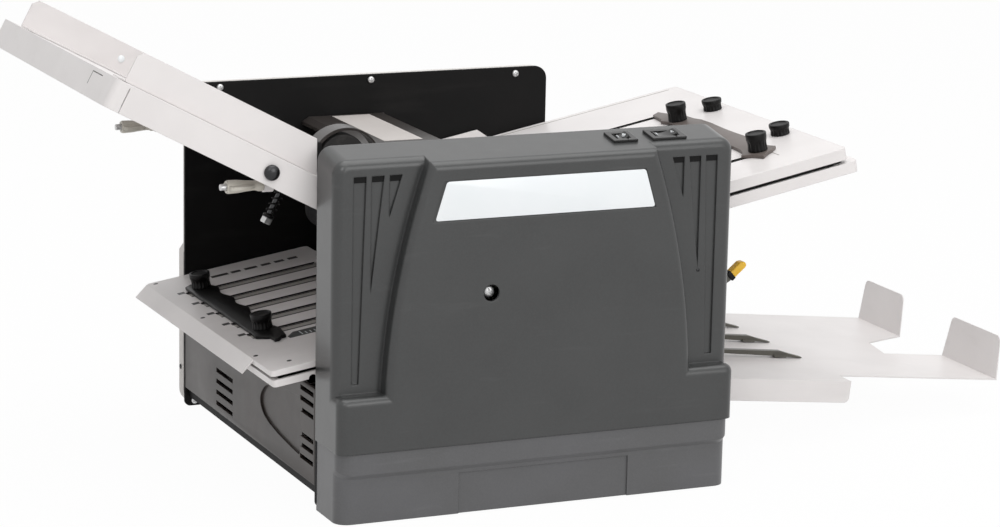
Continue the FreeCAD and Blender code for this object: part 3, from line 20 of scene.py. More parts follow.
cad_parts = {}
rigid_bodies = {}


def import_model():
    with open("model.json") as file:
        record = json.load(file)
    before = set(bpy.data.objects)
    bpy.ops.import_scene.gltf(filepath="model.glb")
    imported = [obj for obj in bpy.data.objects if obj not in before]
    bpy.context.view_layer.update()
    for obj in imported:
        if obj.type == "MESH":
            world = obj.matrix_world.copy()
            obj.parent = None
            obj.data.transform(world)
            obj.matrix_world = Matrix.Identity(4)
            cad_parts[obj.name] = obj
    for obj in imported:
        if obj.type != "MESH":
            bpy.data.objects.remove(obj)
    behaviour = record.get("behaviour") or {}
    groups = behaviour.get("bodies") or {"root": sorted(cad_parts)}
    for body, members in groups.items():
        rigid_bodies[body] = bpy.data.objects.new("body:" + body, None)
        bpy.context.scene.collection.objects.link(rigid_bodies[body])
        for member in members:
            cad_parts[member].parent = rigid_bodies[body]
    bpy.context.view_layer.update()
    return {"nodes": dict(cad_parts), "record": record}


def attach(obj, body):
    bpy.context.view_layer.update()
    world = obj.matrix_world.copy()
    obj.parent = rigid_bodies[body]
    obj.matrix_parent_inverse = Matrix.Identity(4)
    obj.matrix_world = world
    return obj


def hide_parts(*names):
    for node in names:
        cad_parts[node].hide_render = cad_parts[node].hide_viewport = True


LOG = logging.getLogger("folder")
MM = 0.001

# ---------------------------------------------------------------- places

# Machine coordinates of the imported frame's origin.
ORIGIN_X = 87.1
ORIGIN_Y = 152.8


@dataclass(frozen=True)
class Place:
    """Where a sub-assembly's coordinates stand in the machine.

    Attributes:
        x: shift along the paper path.
        z: height.
        tilt: fall towards +X in degrees.
        y: shift away from the operator.
        lean: turn about X in degrees.
    """

    x: float = 0.0
    z: float = 0.0
    tilt: float = 0.0
    y: float = 0.0
    lean: float = 0.0

    def matrix(self) -> Matrix:
        """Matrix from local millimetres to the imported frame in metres."""
        shift = Vector((self.x - ORIGIN_X, self.y - ORIGIN_Y, self.z)) * MM
        fall = Matrix.Rotation(math.radians(self.tilt), 4, "Y")
        lean = Matrix.Rotation(math.radians(self.lean), 4, "X")
        return Matrix.Translation(shift) @ (fall @ lean) @ Matrix.Scale(MM, 4)


def raised(x: float, z: float, rise: float, gap: float) -> Place:
    """Place of a fold table's upper plate, a gap above its lower plate.

    Args:
        x: mouth of the table along X.
        z: height of the mouth.
        rise: upward slope in degrees.
        gap: paper gap and flange together.

    Returns:
        The place of the upper deck.
    """
    lift = math.radians(rise)
    return Place(x - gap * math.sin(lift), z + gap * math.cos(lift), -rise)


MACHINE = Place()
FEED_TABLE = Place(x=-344.4, z=368.6, tilt=27.8)
UPPER_1 = raised(x=-10, z=198, rise=11.3, gap=13.2)
UPPER_2 = raised(x=-60, z=137.6, rise=9.2, gap=8.2)
EXIT_TRAY = Place(x=166, z=72.4, tilt=6.1)
PANEL_RISE, PANEL_DEPTH = 9, 54
COVER_TOP = Place(z=306, lean=math.degrees(math.atan(PANEL_RISE / PANEL_DEPTH)))


class Facing(Enum):
    """Direction that a piece built upwards is turned to."""

    DOWN = Matrix.Rotation(math.pi, 4, "X")
    NEAR = Matrix.Rotation(math.pi / 2, 4, "X")
    FAR = Matrix.Rotation(-math.pi / 2, 4, "X")
    LEFT = Matrix.Rotation(-math.pi / 2, 4, "Y")
    RIGHT = Matrix.Rotation(math.pi / 2, 4, "Y")

    def at(self, x: float, y: float, z: float) -> Matrix:
        """Matrix that turns a piece this way and stands it at a point."""
        return Matrix.Translation((x, y, z)) @ self.value


# ---------------------------------------------------------------- shader nodes


class Signal:
    """An output of a node that can be written into sums."""

    def __init__(self, sheet: "Sheet", socket: bpy.types.NodeSocket) -> None:
        """Wrap a socket of the sheet's nodes."""
        self.sheet = sheet
        self.socket = socket

    def _sum(self, operation: str, *terms: "Signal | float") -> "Signal":
        """Add one Math node over the terms."""
        return self.sheet.add("Math", {"operation": operation}, dict(enumerate(terms)))

    def __add__(self, other: "Signal | float") -> "Signal":
        """Sum."""
        return self._sum("ADD", self, other)

    def __sub__(self, other: "Signal | float") -> "Signal":
        """Difference."""
        return self._sum("SUBTRACT", self, other)

    def __rsub__(self, other: float) -> "Signal":
        """Difference from a number."""
        return self._sum("SUBTRACT", other, self)

    def __mul__(self, other: "Signal | float") -> "Signal":
        """Product."""
        return self._sum("MULTIPLY", self, other)

    __radd__ = __add__
    __rmul__ = __mul__

    def sine(self) -> "Signal":
        """Sine of the signal, in radians."""
        return self._sum("SINE", self)

    def band(self, low: float, high: float) -> "Signal":
        """Zero at low, one at high, held between."""
        return self.sheet.add("MapRange", {"clamp": True}, {0: self, 1: low, 2: high})


class Sheet:
    """The nodes of one material or of the world."""

    def __init__(self, tree: bpy.types.NodeTree) -> None:
        """Take the tree that new nodes go into."""
        self.tree = tree
        self._where: Optional[Signal] = None

    def add(self, kind: str, settings: Optional[dict] = None, sockets: Optional[dict] = None,
            output: "int | str" = 0) -> Signal:
        """Add a node.

        Args:
            kind: type of node, without its ShaderNode prefix.
            settings: properties, set before the sockets.
            sockets: values or links of inputs, by name or number.
            output: name or number of the output that is used.

        Returns:
            The node's output.
        """
        node = self.tree.nodes.new("ShaderNode" + kind)
        for key, value in (settings or {}).items():
            setattr(node, key, value)
        for key, value in (sockets or {}).items():
            self.feed(node.inputs[key], value)
        return Signal(self, node.outputs[output])

    def feed(self, socket: bpy.types.NodeSocket, value: "Signal | float | tuple") -> None:
        """Link a signal to a socket, or set its value.

        Args:
            socket: input of a node.
            value: what it gets.
        """
        if isinstance(value, Signal):
            self.tree.links.new(value.socket, socket)
        else:
            socket.default_value = value

    @property
    def where(self) -> Signal:
        """The object's own coordinates, in metres."""
        if self._where is None:
            self._where = self.add("TexCoord", output="Object")
        return self._where

    def stretched(self, scale: tuple[float, float, float]) -> Signal:
        """The object's coordinates, stretched along the axes."""
        return self.add("Mapping", {}, {"Vector": self.where, "Scale": scale})

    def axis(self, name: str) -> Signal:
        """One of the object's coordinates, by its letter."""
        return self.add("SeparateXYZ", {}, {0: self.where}, name)

    def noise(self, size: float, detail: float = 2.0, where: Optional[Signal] = None) -> Signal:
        """Cloudy pattern between 0 and 1.

        Args:
            size: size of its patches in metres.
            detail: number of finer layers.
            where: coordinates, the object's own if left out.

        Returns:
            The pattern.
        """
        return self.add("TexNoise", {}, {"Vector": where or self.where, "Scale": 1 / size, "Detail": detail})

    def cells(self, size: float) -> Signal:
        """Distance to the nearest of scattered points, in parts of the size."""
        return self.add("TexVoronoi", {}, {"Vector": self.where, "Scale": 1 / size}, "Distance")

    def mix(self, amount: "Signal | float", first: "Signal | tuple", second: "Signal | tuple") -> Signal:
        """Blend two colours."""
        return self.add("Mix", {"data_type": "RGBA"}, {0: amount, 6: first, 7: second}, 2)

    def rounded(self, radius: float) -> Signal:
        """Normals as if sharp edges were rounded off by the radius in metres."""
        return self.add("Bevel", {"samples": 4}, {"Radius": radius})

    def edges(self, radius: float) -> Signal:
        """One on sharp edges, zero on flat ground.

        Args:
            radius: width of the edges in metres.

        Returns:
            The mask.
        """
        flat = self.add("NewGeometry", output="Normal")
        sockets = {0: self.rounded(radius), 1: flat}
        return (1 - self.add("VectorMath", {"operation": "DOT_PRODUCT"}, sockets, "Value")).band(0.03, 0.25)

    def bump(self, height: Signal, depth: float, normal: Optional[Signal] = None) -> Signal:
        """Normals of a relief.

        Args:
            height: relief between 0 and 1.
            depth: its full height in metres.
            normal: normals that it lies on, the surface's own if left out.

        Returns:
            The normals.
        """
        sockets = {"Height": height, "Distance": depth, "Strength": 1.0}
        if normal is not None:
            sockets["Normal"] = normal
        return self.add("Bump", {}, sockets)


def linear(colour: Sequence[float]) -> tuple[float, float, float, float]:
    """Linear colour of a display colour.

    Args:
        colour: red, green and blue between 0 and 255.

    Returns:
        The colour for a socket.
    """
    parts = [value / 255 for value in colour]
    low = [part / 12.92 if part <= 0.04045 else ((part + 0.055) / 1.055) ** 2.4 for part in parts]
    return (low[0], low[1], low[2], 1.0)


def lighter(colour: Sequence[int], step: int) -> tuple[int, ...]:
    """Display colour a step lighter."""
    return tuple(min(255, part + step) for part in colour)


def blank_material(name: str) -> bpy.types.Material:
    """Material with a bare Principled shader.

    Args:
        name: name of the material.

    Returns:
        The material.
    """
    material = bpy.data.materials.new(name)
    material.use_nodes = True
    return material


# ---------------------------------------------------------------- finishes

# Sizes of the patterns that finishes share, in metres.
DRIFT_PATCH = 0.055
SHEEN_PATCH = 0.017
RUBBED_PATCH = 0.006
RUBBED_EDGE = 0.0006
DULL_PATCH = 0.004
DUST_PATCH = 0.012

PAPER_DUST = (176, 172, 166)
COAT_ROUGHNESS = 0.2


@dataclass(frozen=True)
class Finish:
    """What all finishes share: a base colour that drifts, a sheen and a grain.

    Attributes:
        name: name of the material.
        colour: display colour.
        drift: second colour that the first drifts to in large patches.
        roughness: middle roughness.
        spread: how far the roughness wanders.
        grain: size of the surface grain in metres.
        relief: height of the grain in metres.
        edge: radius that sharp edges look rounded by, in metres.
        metallic: share of bare metal.
        specular: strength of the plain reflection.
        coat: weight of a clear layer on top.
    """

    name: str
    colour: tuple[int, int, int]
    drift: tuple[int, int, int]
    roughness: float = 0.45
    spread: float = 0.1
    grain: float = 0.0009
    relief: float = 0.00002
    edge: float = 0.0
    metallic: float = 0.0
    specular: float = 0.5
    coat: float = 0.0

    def material(self) -> bpy.types.Material:
        """The finish's material, made on first use."""
        known = bpy.data.materials.get(self.name)
        if known:
            return known
        material = blank_material(self.name)
        sheet = Sheet(material.node_tree)
        shader = material.node_tree.nodes["Principled BSDF"].inputs
        clouds = sheet.noise(DRIFT_PATCH, 3.0)
        base = sheet.mix(clouds.band(0.35, 0.65), linear(self.colour), linear(self.drift))
        sheet.feed(shader["Base Color"], self.tone(sheet, base))
        sheen = self.roughness - self.spread / 2 + sheet.noise(SHEEN_PATCH, 3.0) * self.spread
        sheet.feed(shader["Roughness"], sheen)
        shader["Metallic"].default_value = self.metallic
        shader["Specular IOR Level"].default_value = self.specular
        shader["Coat Weight"].default_value = self.coat
        shader["Coat Roughness"].default_value = COAT_ROUGHNESS
        ground = sheet.rounded(self.edge) if self.edge else None
        sheet.feed(shader["Normal"], sheet.bump(self.height(sheet), self.relief, ground))
        return material

    def tone(self, sheet: Sheet, base: Signal) -> Signal:
        """Colour of the finish, worked out from its drifting base."""
        return base

    def height(self, sheet: Sheet) -> Signal:
        """Relief of the surface grain between 0 and 1."""
        return sheet.noise(self.grain, 2.0)


@dataclass(frozen=True)
class PowderCoat(Finish):
    """Baked powder paint on sheet steel, with orange peel and rubbed edges.

    Attributes:
        worn: colour that shows through on rubbed edges.
        wear: how much of the edges is rubbed.
        smear: how handling marks are stretched along the axes.
    """

    grain: float = 0.0012
    edge: float = 0.0007
    worn: tuple[int, int, int] = (120, 118, 116)
    wear: float = 0.25
    smear: tuple[float, float, float] = (9, 26, 60)

    def tone(self, sheet: Sheet, base: Signal) -> Signal:
        """Base colour with rubbed edges and faint grey handling marks.

        Args:
            sheet: nodes of the material.
            base: the drifting base colour.

        Returns:
            The colour.
        """
        rubbed = sheet.edges(RUBBED_EDGE) * sheet.noise(RUBBED_PATCH, 4.0).band(0.62 - self.wear / 3, 0.8)
        smears = sheet.noise(1.0, 4.0, sheet.stretched(self.smear)).band(0.56, 0.78) * 0.1
        marked = sheet.mix(smears, base, linear(self.worn))
        return sheet.mix(rubbed * self.wear, marked, linear(self.worn))

    def height(self, sheet: Sheet) -> Signal:
        """Orange peel with a finer grain on it."""
        return sheet.noise(self.grain, 1.0) * 0.8 + sheet.noise(self.grain / 4, 1.0) * 0.2


@dataclass(frozen=True)
class Moulding(Finish):
    """Moulded plastic with a spark-eroded texture and small scuffs.

    Attributes:
        scuff: strength of the light scuff marks.
        streak: how scuff marks are stretched along the axes.
    """

    grain: float = 0.0008
    relief: float = 0.000008
    edge: float = 0.0008
    scuff: float = 0.06
    streak: tuple[float, float, float] = (14, 90, 120)

    def tone(self, sheet: Sheet, base: Signal) -> Signal:
        """Base colour with a fine speckle and pale scuffs.

        Args:
            sheet: nodes of the material.
            base: the drifting base colour.

        Returns:
            The colour.
        """
        speckle = sheet.noise(self.grain * 1.6, 1.0).band(0.35, 0.75) * 0.12
        speckled = sheet.mix(speckle, base, linear(lighter(self.colour, 26)))
        scuffs = sheet.noise(1.0, 5.0, sheet.stretched(self.streak)).band(0.63, 0.75)
        return sheet.mix(scuffs * self.scuff, speckled, linear(lighter(self.colour, 70)))

    def height(self, sheet: Sheet) -> Signal:
        """Pitted texture."""
        return sheet.cells(self.grain).band(0.05, 0.75) * 0.6 + sheet.noise(self.grain / 2, 1.0) * 0.4


@dataclass(frozen=True)
class BareMetal(Finish):
    """Plated or machined metal with fine tool marks.

    Attributes:
        pull: how the tool marks are stretched along the axes.
    """

    relief: float = 0.000006
    metallic: float = 1.0
    pull: tuple[float, float, float] = (1500, 120, 1500)

    def tone(self, sheet: Sheet, base: Signal) -> Signal:
        """Base colour dulled in blotches."""
        dull = sheet.noise(DULL_PATCH, 4.0).band(0.5, 0.8) * 0.35
        return sheet.mix(dull, base, linear(tuple(int(part * 0.62) for part in self.colour)))

    def height(self, sheet: Sheet) -> Signal:
        """Fine drawn lines."""
        return sheet.noise(1.0, 2.0, sheet.stretched(self.pull))


@dataclass(frozen=True)
class Rubber(Finish):
    """Matt rubber with pores and paper dust.

    Attributes:
        dust: strength of the pale dust.
        rings: spacing of turned rings along Y in metres, none if zero.
    """

    relief: float = 0.00003
    dust: float = 0.15
    rings: float = 0.0

    def tone(self, sheet: Sheet, base: Signal) -> Signal:
        """Base colour under paper dust."""
        film = sheet.noise(DUST_PATCH, 5.0).band(0.5, 0.85)
        return sheet.mix(film * self.dust, base, linear(PAPER_DUST))

    def height(self, sheet: Sheet) -> Signal:
        """Pores, with rings where the piece is turned.

        Args:
            sheet: nodes of the material.

        Returns:
            The relief between 0 and 1.
        """
        pores = sheet.cells(self.grain).band(0.1, 0.6)
        if not self.rings:
            return pores
        return ((sheet.axis("Y") * (math.tau / self.rings)).sine() * 0.5 + 0.5) * 0.7 + pores * 0.3


@dataclass(frozen=True)
class Print(Finish):
    """Smooth sheet with flat ink or lacquer under a thin clear layer."""

    spread: float = 0.06
    grain: float = 0.002
    relief: float = 0.000002
    coat: float = 0.15


WHITE_COAT = PowderCoat("white_powder_coat", (228, 224, 223), (223, 219, 218), roughness=0.36, grain=0.0013,
                        relief=0.000012, worn=(176, 170, 164), wear=0.3)
# Black powder coat; the same finish paints shade in the cover's grooves, between the fold tables' plates and
# in and under their slots.
BLACK_STEEL_AND_SHADE = PowderCoat("black_powder_coat_and_painted_shade", (12, 12, 12), (16, 15, 15), roughness=0.6, grain=0.0011,
                         edge=0.0005, specular=0.15, worn=(70, 68, 66), wear=0.2)
DARK_STEEL = PowderCoat("dark_powder_coat", (52, 49, 47), (60, 56, 53), roughness=0.42, spread=0.12)
HOOD_STEEL = PowderCoat("brown_powder_coat", (56, 52, 50), (50, 46, 44), roughness=0.3, relief=0.000014)
BAR_STEEL = PowderCoat("brown_grey_coat", (100, 91, 87), (92, 84, 80), roughness=0.42, grain=0.001,
                       edge=0.0004)
LEVER_STEEL = PowderCoat("grey_powder_coat", (88, 86, 78), (80, 78, 71), roughness=0.4, grain=0.001,
                         edge=0.0004)
GREY_COVER = Moulding("grey_moulding", (50, 51, 51), (46, 47, 47), roughness=0.34, spread=0.07, edge=0.002,
                      coat=0.3, scuff=0.05)
# Lighter copy of the cover's grey for the lower cover: painted light bounced up from the floor.
LOWER_GREY_PAINTED_LIGHT = Moulding("lower_grey_moulding_painted_light", (88, 88, 90), (84, 84, 85), roughness=0.34, spread=0.07)
LIGHT_COVER = Moulding("light_grey_moulding", (214, 210, 206), (206, 202, 198), roughness=0.42,
                       relief=0.00001)
DARK_COVER = Moulding("dark_moulding", (56, 48, 45), (49, 43, 40), roughness=0.38, grain=0.0009,
                      relief=0.000012, specular=0.35)
BLACK_PLASTIC = Moulding("black_moulding", (9, 8, 8), (12, 11, 11), roughness=0.4, grain=0.0007,
                         relief=0.00001, edge=0.0, specular=0.2, scuff=0.08)
SWITCH_PLASTIC = Moulding("black_gloss_moulding", (12, 11, 11), (15, 14, 14), roughness=0.16, spread=0.06,
                          grain=0.0011, relief=0.000003, edge=0.0007)
IVORY_PLASTIC = Moulding("ivory_moulding", (200, 196, 186), (192, 187, 176), roughness=0.4, edge=0.0006)
YELLOW_PLASTIC = Moulding("yellow_moulding", (246, 196, 52), (240, 186, 42), roughness=0.32, edge=0.0006)
GEAR_PLASTIC = Moulding("gear_moulding", (214, 210, 198), (204, 198, 184), relief=0.00001, edge=0.0)
MOTOR_PAINT = Moulding("motor_paint", (52, 54, 58), (46, 48, 51), roughness=0.5, grain=0.0012, relief=0.00003,
                       edge=0.0)
BRIGHT_STEEL = BareMetal("bright_steel", (205, 203, 199), (188, 186, 182), roughness=0.25, spread=0.14)
GUN_METAL = BareMetal("blackened_steel", (70, 70, 71), (58, 58, 59), roughness=0.26, relief=0.000004,
                      metallic=0.9)
BRONZE = BareMetal("sintered_bronze", (120, 96, 66), (104, 82, 56), spread=0.15, relief=0.000008)
BLACK_RUBBER = Rubber("black_rubber", (20, 20, 20), (27, 26, 26), roughness=0.8, dust=0.08)
PAD_RUBBER = Rubber("pad_rubber", (132, 78, 58), (122, 70, 52), roughness=0.75, grain=0.0008, dust=0.3)
ROLLER_RUBBER = Rubber("roller_rubber", (58, 58, 60), (66, 65, 66), roughness=0.6, spread=0.12,
                       relief=0.00002, dust=0.3, rings=0.0016)
TYRE_RUBBER = Rubber("tyre_rubber", (26, 25, 25), (34, 32, 31), roughness=0.75, dust=0.12)
PLATE_WHITE = Print("white_plate", (236, 239, 241), (232, 236, 238), roughness=0.3)
LABEL_WHITE = Print("label_white", (206, 200, 196), (198, 192, 188), roughness=0.4)
# Black ink; the same finish paints the shade at the slots of fold table 2.
INK_AND_SHADE = Print("black_ink_and_painted_shade", (30, 28, 28), (38, 35, 34), roughness=0.5)
# Grey ink; the same finish paints the shade beside the slots of fold table 2.
GREY_INK_AND_SHADE = Print("grey_ink_and_painted_shade", (150, 146, 142), (160, 156, 151), roughness=0.5)
SCALE_INK = Print("scale_ink", (52, 56, 55), (60, 63, 62), roughness=0.4)

SLOT_FINISHES: dict[str, Finish] = {
    "white_coat": WHITE_COAT, "black_steel": BLACK_STEEL_AND_SHADE, "dark_steel": DARK_STEEL, "grey_cover": GREY_COVER,
    "light_cover": LIGHT_COVER, "dark_cover": DARK_COVER, "black_plastic": BLACK_PLASTIC,
    "ivory_plastic": IVORY_PLASTIC, "yellow_plastic": YELLOW_PLASTIC, "gear_plastic": GEAR_PLASTIC,
    "motor_paint": MOTOR_PAINT, "bright_steel": BRIGHT_STEEL, "bronze": BRONZE, "black_rubber": BLACK_RUBBER,
    "pad_rubber": PAD_RUBBER, "roller_cover": ROLLER_RUBBER,
}
NODE_FINISHES: dict[str, Finish] = {
    "feed_rocker": SWITCH_PLASTIC, "power_rocker": SWITCH_PLASTIC, "switch_bezels": SWITCH_PLASTIC,
    "lower_cover": LOWER_GREY_PAINTED_LIGHT, "feed_hood": HOOD_STEEL, "feed_wheel": TYRE_RUBBER, "stacker_arm": LEVER_STEEL,
    "shaft_bearings": GUN_METAL, "separator_spring": BLACK_STEEL_AND_SHADE,
}

# ---------------------------------------------------------------- shapes

# Angles in radians: past the first an edge may be rounded off, past the second it stays sharp.
SHARP_ANGLE = 0.3
CREASE = math.radians(35.0)


def add_object(name: str, data: bpy.types.ID) -> bpy.types.Object:
    """Put data into the scene as an object.

    Args:
        name: name of the object.
        data: its mesh, lamp or camera.

    Returns:
        The object.
    """
    thing = bpy.data.objects.new(name, data)
    bpy.context.scene.collection.objects.link(thing)
    return thing


def climb(edge: bmesh.types.BMEdge) -> float:
    """Height between the two ends of an edge."""
    return abs(edge.verts[0].co.z - edge.verts[1].co.z)


class Shape:
    """A mesh in the making, in millimetres."""

    def __init__(self) -> None:
        """Start with nothing."""
        self.mesh = bmesh.new()

    @classmethod
    def block(cls, low: Sequence[float], high: Sequence[float], rounding: float = 0.0) -> "Shape":
        """Box between two corners.

        Args:
            low: lowest corner.
            high: highest corner.
            rounding: radius of all its edges.

        Returns:
            The shape.
        """
        shape = cls()
        verts = bmesh.ops.create_cube(shape.mesh, size=1.0)["verts"]
        spans = [b - a for a, b in zip(low, high)]
        middle = Vector([(a + b) / 2 for a, b in zip(low, high)])
        stretch = Matrix.Translation(middle) @ Matrix.Diagonal((*spans, 1))
        bmesh.ops.transform(shape.mesh, verts=verts, matrix=stretch)
        return shape.soften(rounding)

    @classmethod
    def prism(cls, outline: Sequence[tuple[float, float]], low: float, high: float,
              rounding: float = 0.0) -> "Shape":
        """Flat outline in X and Y, thickened between two levels.

        Args:
            outline: corners in turn.
            low: lower level.
            high: upper level.
            rounding: radius of all its edges.

        Returns:
            The shape.
        """
        shape = cls()
        face = shape.mesh.faces.new([shape.mesh.verts.new((x, y, low)) for x, y in outline])
        grown = bmesh.ops.extrude_face_region(shape.mesh, geom=[face])["geom"]
        moved = [item for item in grown if isinstance(item, bmesh.types.BMVert)]
        bmesh.ops.translate(shape.mesh, verts=moved, vec=(0, 0, high - low))
        bmesh.ops.recalc_face_normals(shape.mesh, faces=shape.mesh.faces[:])
        return shape.soften(rounding)

    @classmethod
    def turned(cls, profile: Sequence[tuple[float, float]], steps: int = 32) -> "Shape":
        """Profile turned about Z.

        Args:
            profile: radius and height of its points in turn.
            steps: faces round the body.

        Returns:
            The shape.
        """
        shape = cls()
        verts = [shape.mesh.verts.new((radius, 0, height)) for radius, height in profile]
        edges = [shape.mesh.edges.new(pair) for pair in zip(verts, verts[1:])]
        bmesh.ops.spin(shape.mesh, geom=verts + edges, cent=(0, 0, 0), axis=(0, 0, 1), angle=math.tau,
                       steps=steps, use_merge=True, use_duplicate=False)
        return shape.tidy()

    @classmethod
    def fluted(cls, rings: Sequence[tuple[float, float, float]], flutes: int, steps: int = 6) -> "Shape":
        """Body of stacked rings whose sides are scalloped.

        Args:
            rings: radius, height and depth of the flutes, from the bottom up.
            flutes: number of flutes round the body.
            steps: points across one flute.

        Returns:
            The shape, closed at both ends.
        """
        shape = cls()
        ring = bmesh.ops.create_circle(shape.mesh, cap_ends=False, segments=flutes * steps, radius=1.0)
        verts = ring["verts"]
        edges = shape.mesh.edges[:]
        for number, (radius, height, depth) in enumerate(rings):
            if number:
                grown = bmesh.ops.extrude_edge_only(shape.mesh, edges=edges)["geom"]
                verts = [item for item in grown if isinstance(item, bmesh.types.BMVert)]
                edges = [item for item in grown if isinstance(item, bmesh.types.BMEdge)
                         and all(vert in verts for vert in item.verts)]
            for vert in verts:
                angle = math.atan2(vert.co.y, vert.co.x)
                reach = radius - depth * (0.5 - 0.5 * math.cos(flutes * angle))
                vert.co = (reach * math.cos(angle), reach * math.sin(angle), height)
        bmesh.ops.holes_fill(shape.mesh, edges=shape.mesh.edges[:], sides=0)
        return shape.tidy()

    def tidy(self) -> "Shape":
        """Join doubled points and turn the faces outwards."""
        bmesh.ops.remove_doubles(self.mesh, verts=self.mesh.verts[:], dist=1e-4)
        bmesh.ops.recalc_face_normals(self.mesh, faces=self.mesh.faces[:])
        return self

    def soften(self, radius: float, steps: int = 2,
               chosen: Optional[Callable[[bmesh.types.BMEdge], bool]] = None) -> "Shape":
        """Round edges off.

        Args:
            radius: radius of the rounding, none if zero.
            steps: faces across the rounding.
            chosen: test for the edges to round, all sharp ones if left out.

        Returns:
            This shape.
        """
        if radius:
            picked = [edge for edge in self.mesh.edges if edge.calc_face_angle(0) > SHARP_ANGLE
                      and (chosen is None or chosen(edge))]
            bmesh.ops.bevel(self.mesh, geom=picked, offset=radius, offset_type="OFFSET", affect="EDGES",
                            segments=steps, profile=0.5, material=-1, clamp_overlap=True)
        return self

    def moved(self, matrix: Matrix) -> "Shape":
        """Move this shape by a matrix."""
        bmesh.ops.transform(self.mesh, matrix=matrix, verts=self.mesh.verts[:])
        return self

    def put(self, x: float, y: float, z: float) -> "Shape":
        """Shift this shape along the axes."""
        return self.moved(Matrix.Translation((x, y, z)))

    def baked(self, name: str) -> bpy.types.Mesh:
        """Mesh with this shape in it.

        Args:
            name: name of the mesh.

        Returns:
            The mesh.
        """
        mesh = bpy.data.meshes.new(name)
        self.mesh.to_mesh(mesh)
        return mesh

    def join(self, *others: "Shape") -> "Shape":
        """Add copies of other shapes to this one.

        Args:
            others: the shapes.

        Returns:
            This shape.
        """
        for other in others:
            spare = other.baked("spare")
            self.mesh.from_mesh(spare)
            bpy.data.meshes.remove(spare)
        return self

    def carve(self, cutter: "Shape") -> "Shape":
        """Cut another shape out of this one.

        Args:
            cutter: the shape that is taken away.

        Returns:
            This shape.
        """
        bodies = [add_object("carving", shape.baked("carving")) for shape in (self, cutter)]
        cut = bodies[0].modifiers.new("cut", "BOOLEAN")
        cut.operation, cut.solver, cut.object = "DIFFERENCE", "EXACT", bodies[1]
        bpy.context.view_layer.update()
        done = bpy.data.meshes.new_from_object(bodies[0].evaluated_get(bpy.context.evaluated_depsgraph_get()))
        self.mesh.clear()
        self.mesh.from_mesh(done)
        for body in bodies:
            bpy.data.meshes.remove(body.data)
        bpy.data.meshes.remove(done)
        return self

    def publish(self, name: str, place: Place, finish: Finish, body: str, slot: str,
                *stands_for: str) -> bpy.types.Object:
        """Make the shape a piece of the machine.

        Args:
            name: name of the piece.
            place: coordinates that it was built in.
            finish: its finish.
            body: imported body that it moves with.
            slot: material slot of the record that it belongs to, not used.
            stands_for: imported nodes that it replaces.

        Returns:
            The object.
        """
        mesh = self.baked(name)
        self.mesh.free()
        mesh.transform(place.matrix())
        mesh.shade_smooth()
        mesh.set_sharp_from_angle(angle=CREASE)
        thing = add_object(name, mesh)
        mesh.materials.append(finish.material())
        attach(thing, body)
        if stands_for:
            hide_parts(*stands_for)
        LOG.info("%s: %d faces", name, len(mesh.polygons))
        return thing


def gathered(shapes: Sequence[Shape]) -> Shape:
    """One shape made of several."""
    return Shape().join(*shapes)


# ---------------------------------------------------------------- small parts

SIDES = ("near", "far")


class Drive(Enum):
    """Recess in a screw's head."""

    CROSS = "cross"
    SOCKET = "socket"
    NONE = "none"


@dataclass(frozen=True)
class Screw:
    """A screw head that stands on its seat.

    Attributes:
        radius: radius of the head.
        height: height of the head.
        drive: recess in the head.
    """

    radius: float = 3.2
    height: float = 2.4
    drive: Drive = Drive.CROSS

    def shape(self) -> Shape:
        """Domed head with its recess."""
        r, h = self.radius, self.height
        angles = [step * math.pi / 12 for step in range(6)]
        arc = [(r * math.cos(angle), h * (0.3 + 0.7 * math.sin(angle))) for angle in angles]
        head = Shape.turned([(0.0, 0.0), (r, 0.0), *arc, (0.0, h)], 24)
        if self.drive is Drive.CROSS:
            arm, half = r * 0.62, r * 0.13
            for turn in (20.0, 110.0):
                bar = Shape.block((-arm, -half, h * 0.45), (arm, half, h * 1.2))
                head.carve(bar.moved(Matrix.Rotation(math.radians(turn), 4, "Z")))
        if self.drive is Drive.SOCKET:
            low, high, reach = h * 0.35, h * 1.3, r * 0.45
            head.carve(Shape.turned([(0, low), (reach, low), (reach, high), (0, high)], 6))
        return head

    def rows(self, matrices: Sequence[Matrix]) -> Shape:
        """One shape with a screw at every place given."""
        return gathered([self.shape().moved(matrix) for matrix in matrices])


@dataclass(frozen=True)
class Knob:
    """Fluted clamp knob with a flared cap.

    Attributes:
        height: overall height.
        cap: radius of the cap.
        waist: radius of the fluted waist.
        flutes: number of flutes.
    """

    height: float = 16.0
    cap: float = 9.3
    waist: float = 8.3
    flutes: int = 16

    def shape(self) -> Shape:
        """Fluted skirt, flared cap and dished top."""
        h, cap, waist = self.height, self.cap, self.waist
        skirt = [(waist + 0.2, 0.0, 0.2), (waist + 0.4, 0.5, 0.5), (waist + 0.2, h * 0.14, 0.6),
                 (waist, h * 0.34, 0.6), (waist + 0.1, h * 0.46, 0.6), (waist + 0.4, h * 0.54, 0.4)]
        flare = [(cap - 0.5, h * 0.6, 0.1), (cap - 0.2, h * 0.64, 0.0), (cap, h - 0.9, 0.0),
                 (cap - 0.2, h - 0.3, 0.0), (cap - 1.2, h, 0.0)]
        dish = [(cap - 1.9, h, 0.0), (cap - 2.5, h - 0.8, 0.0), (cap - 5.5, h - 1.0, 0.0),
                (0.6, h - 1.0, 0.0)]
        return Shape.fluted(skirt + flare + dish, self.flutes)


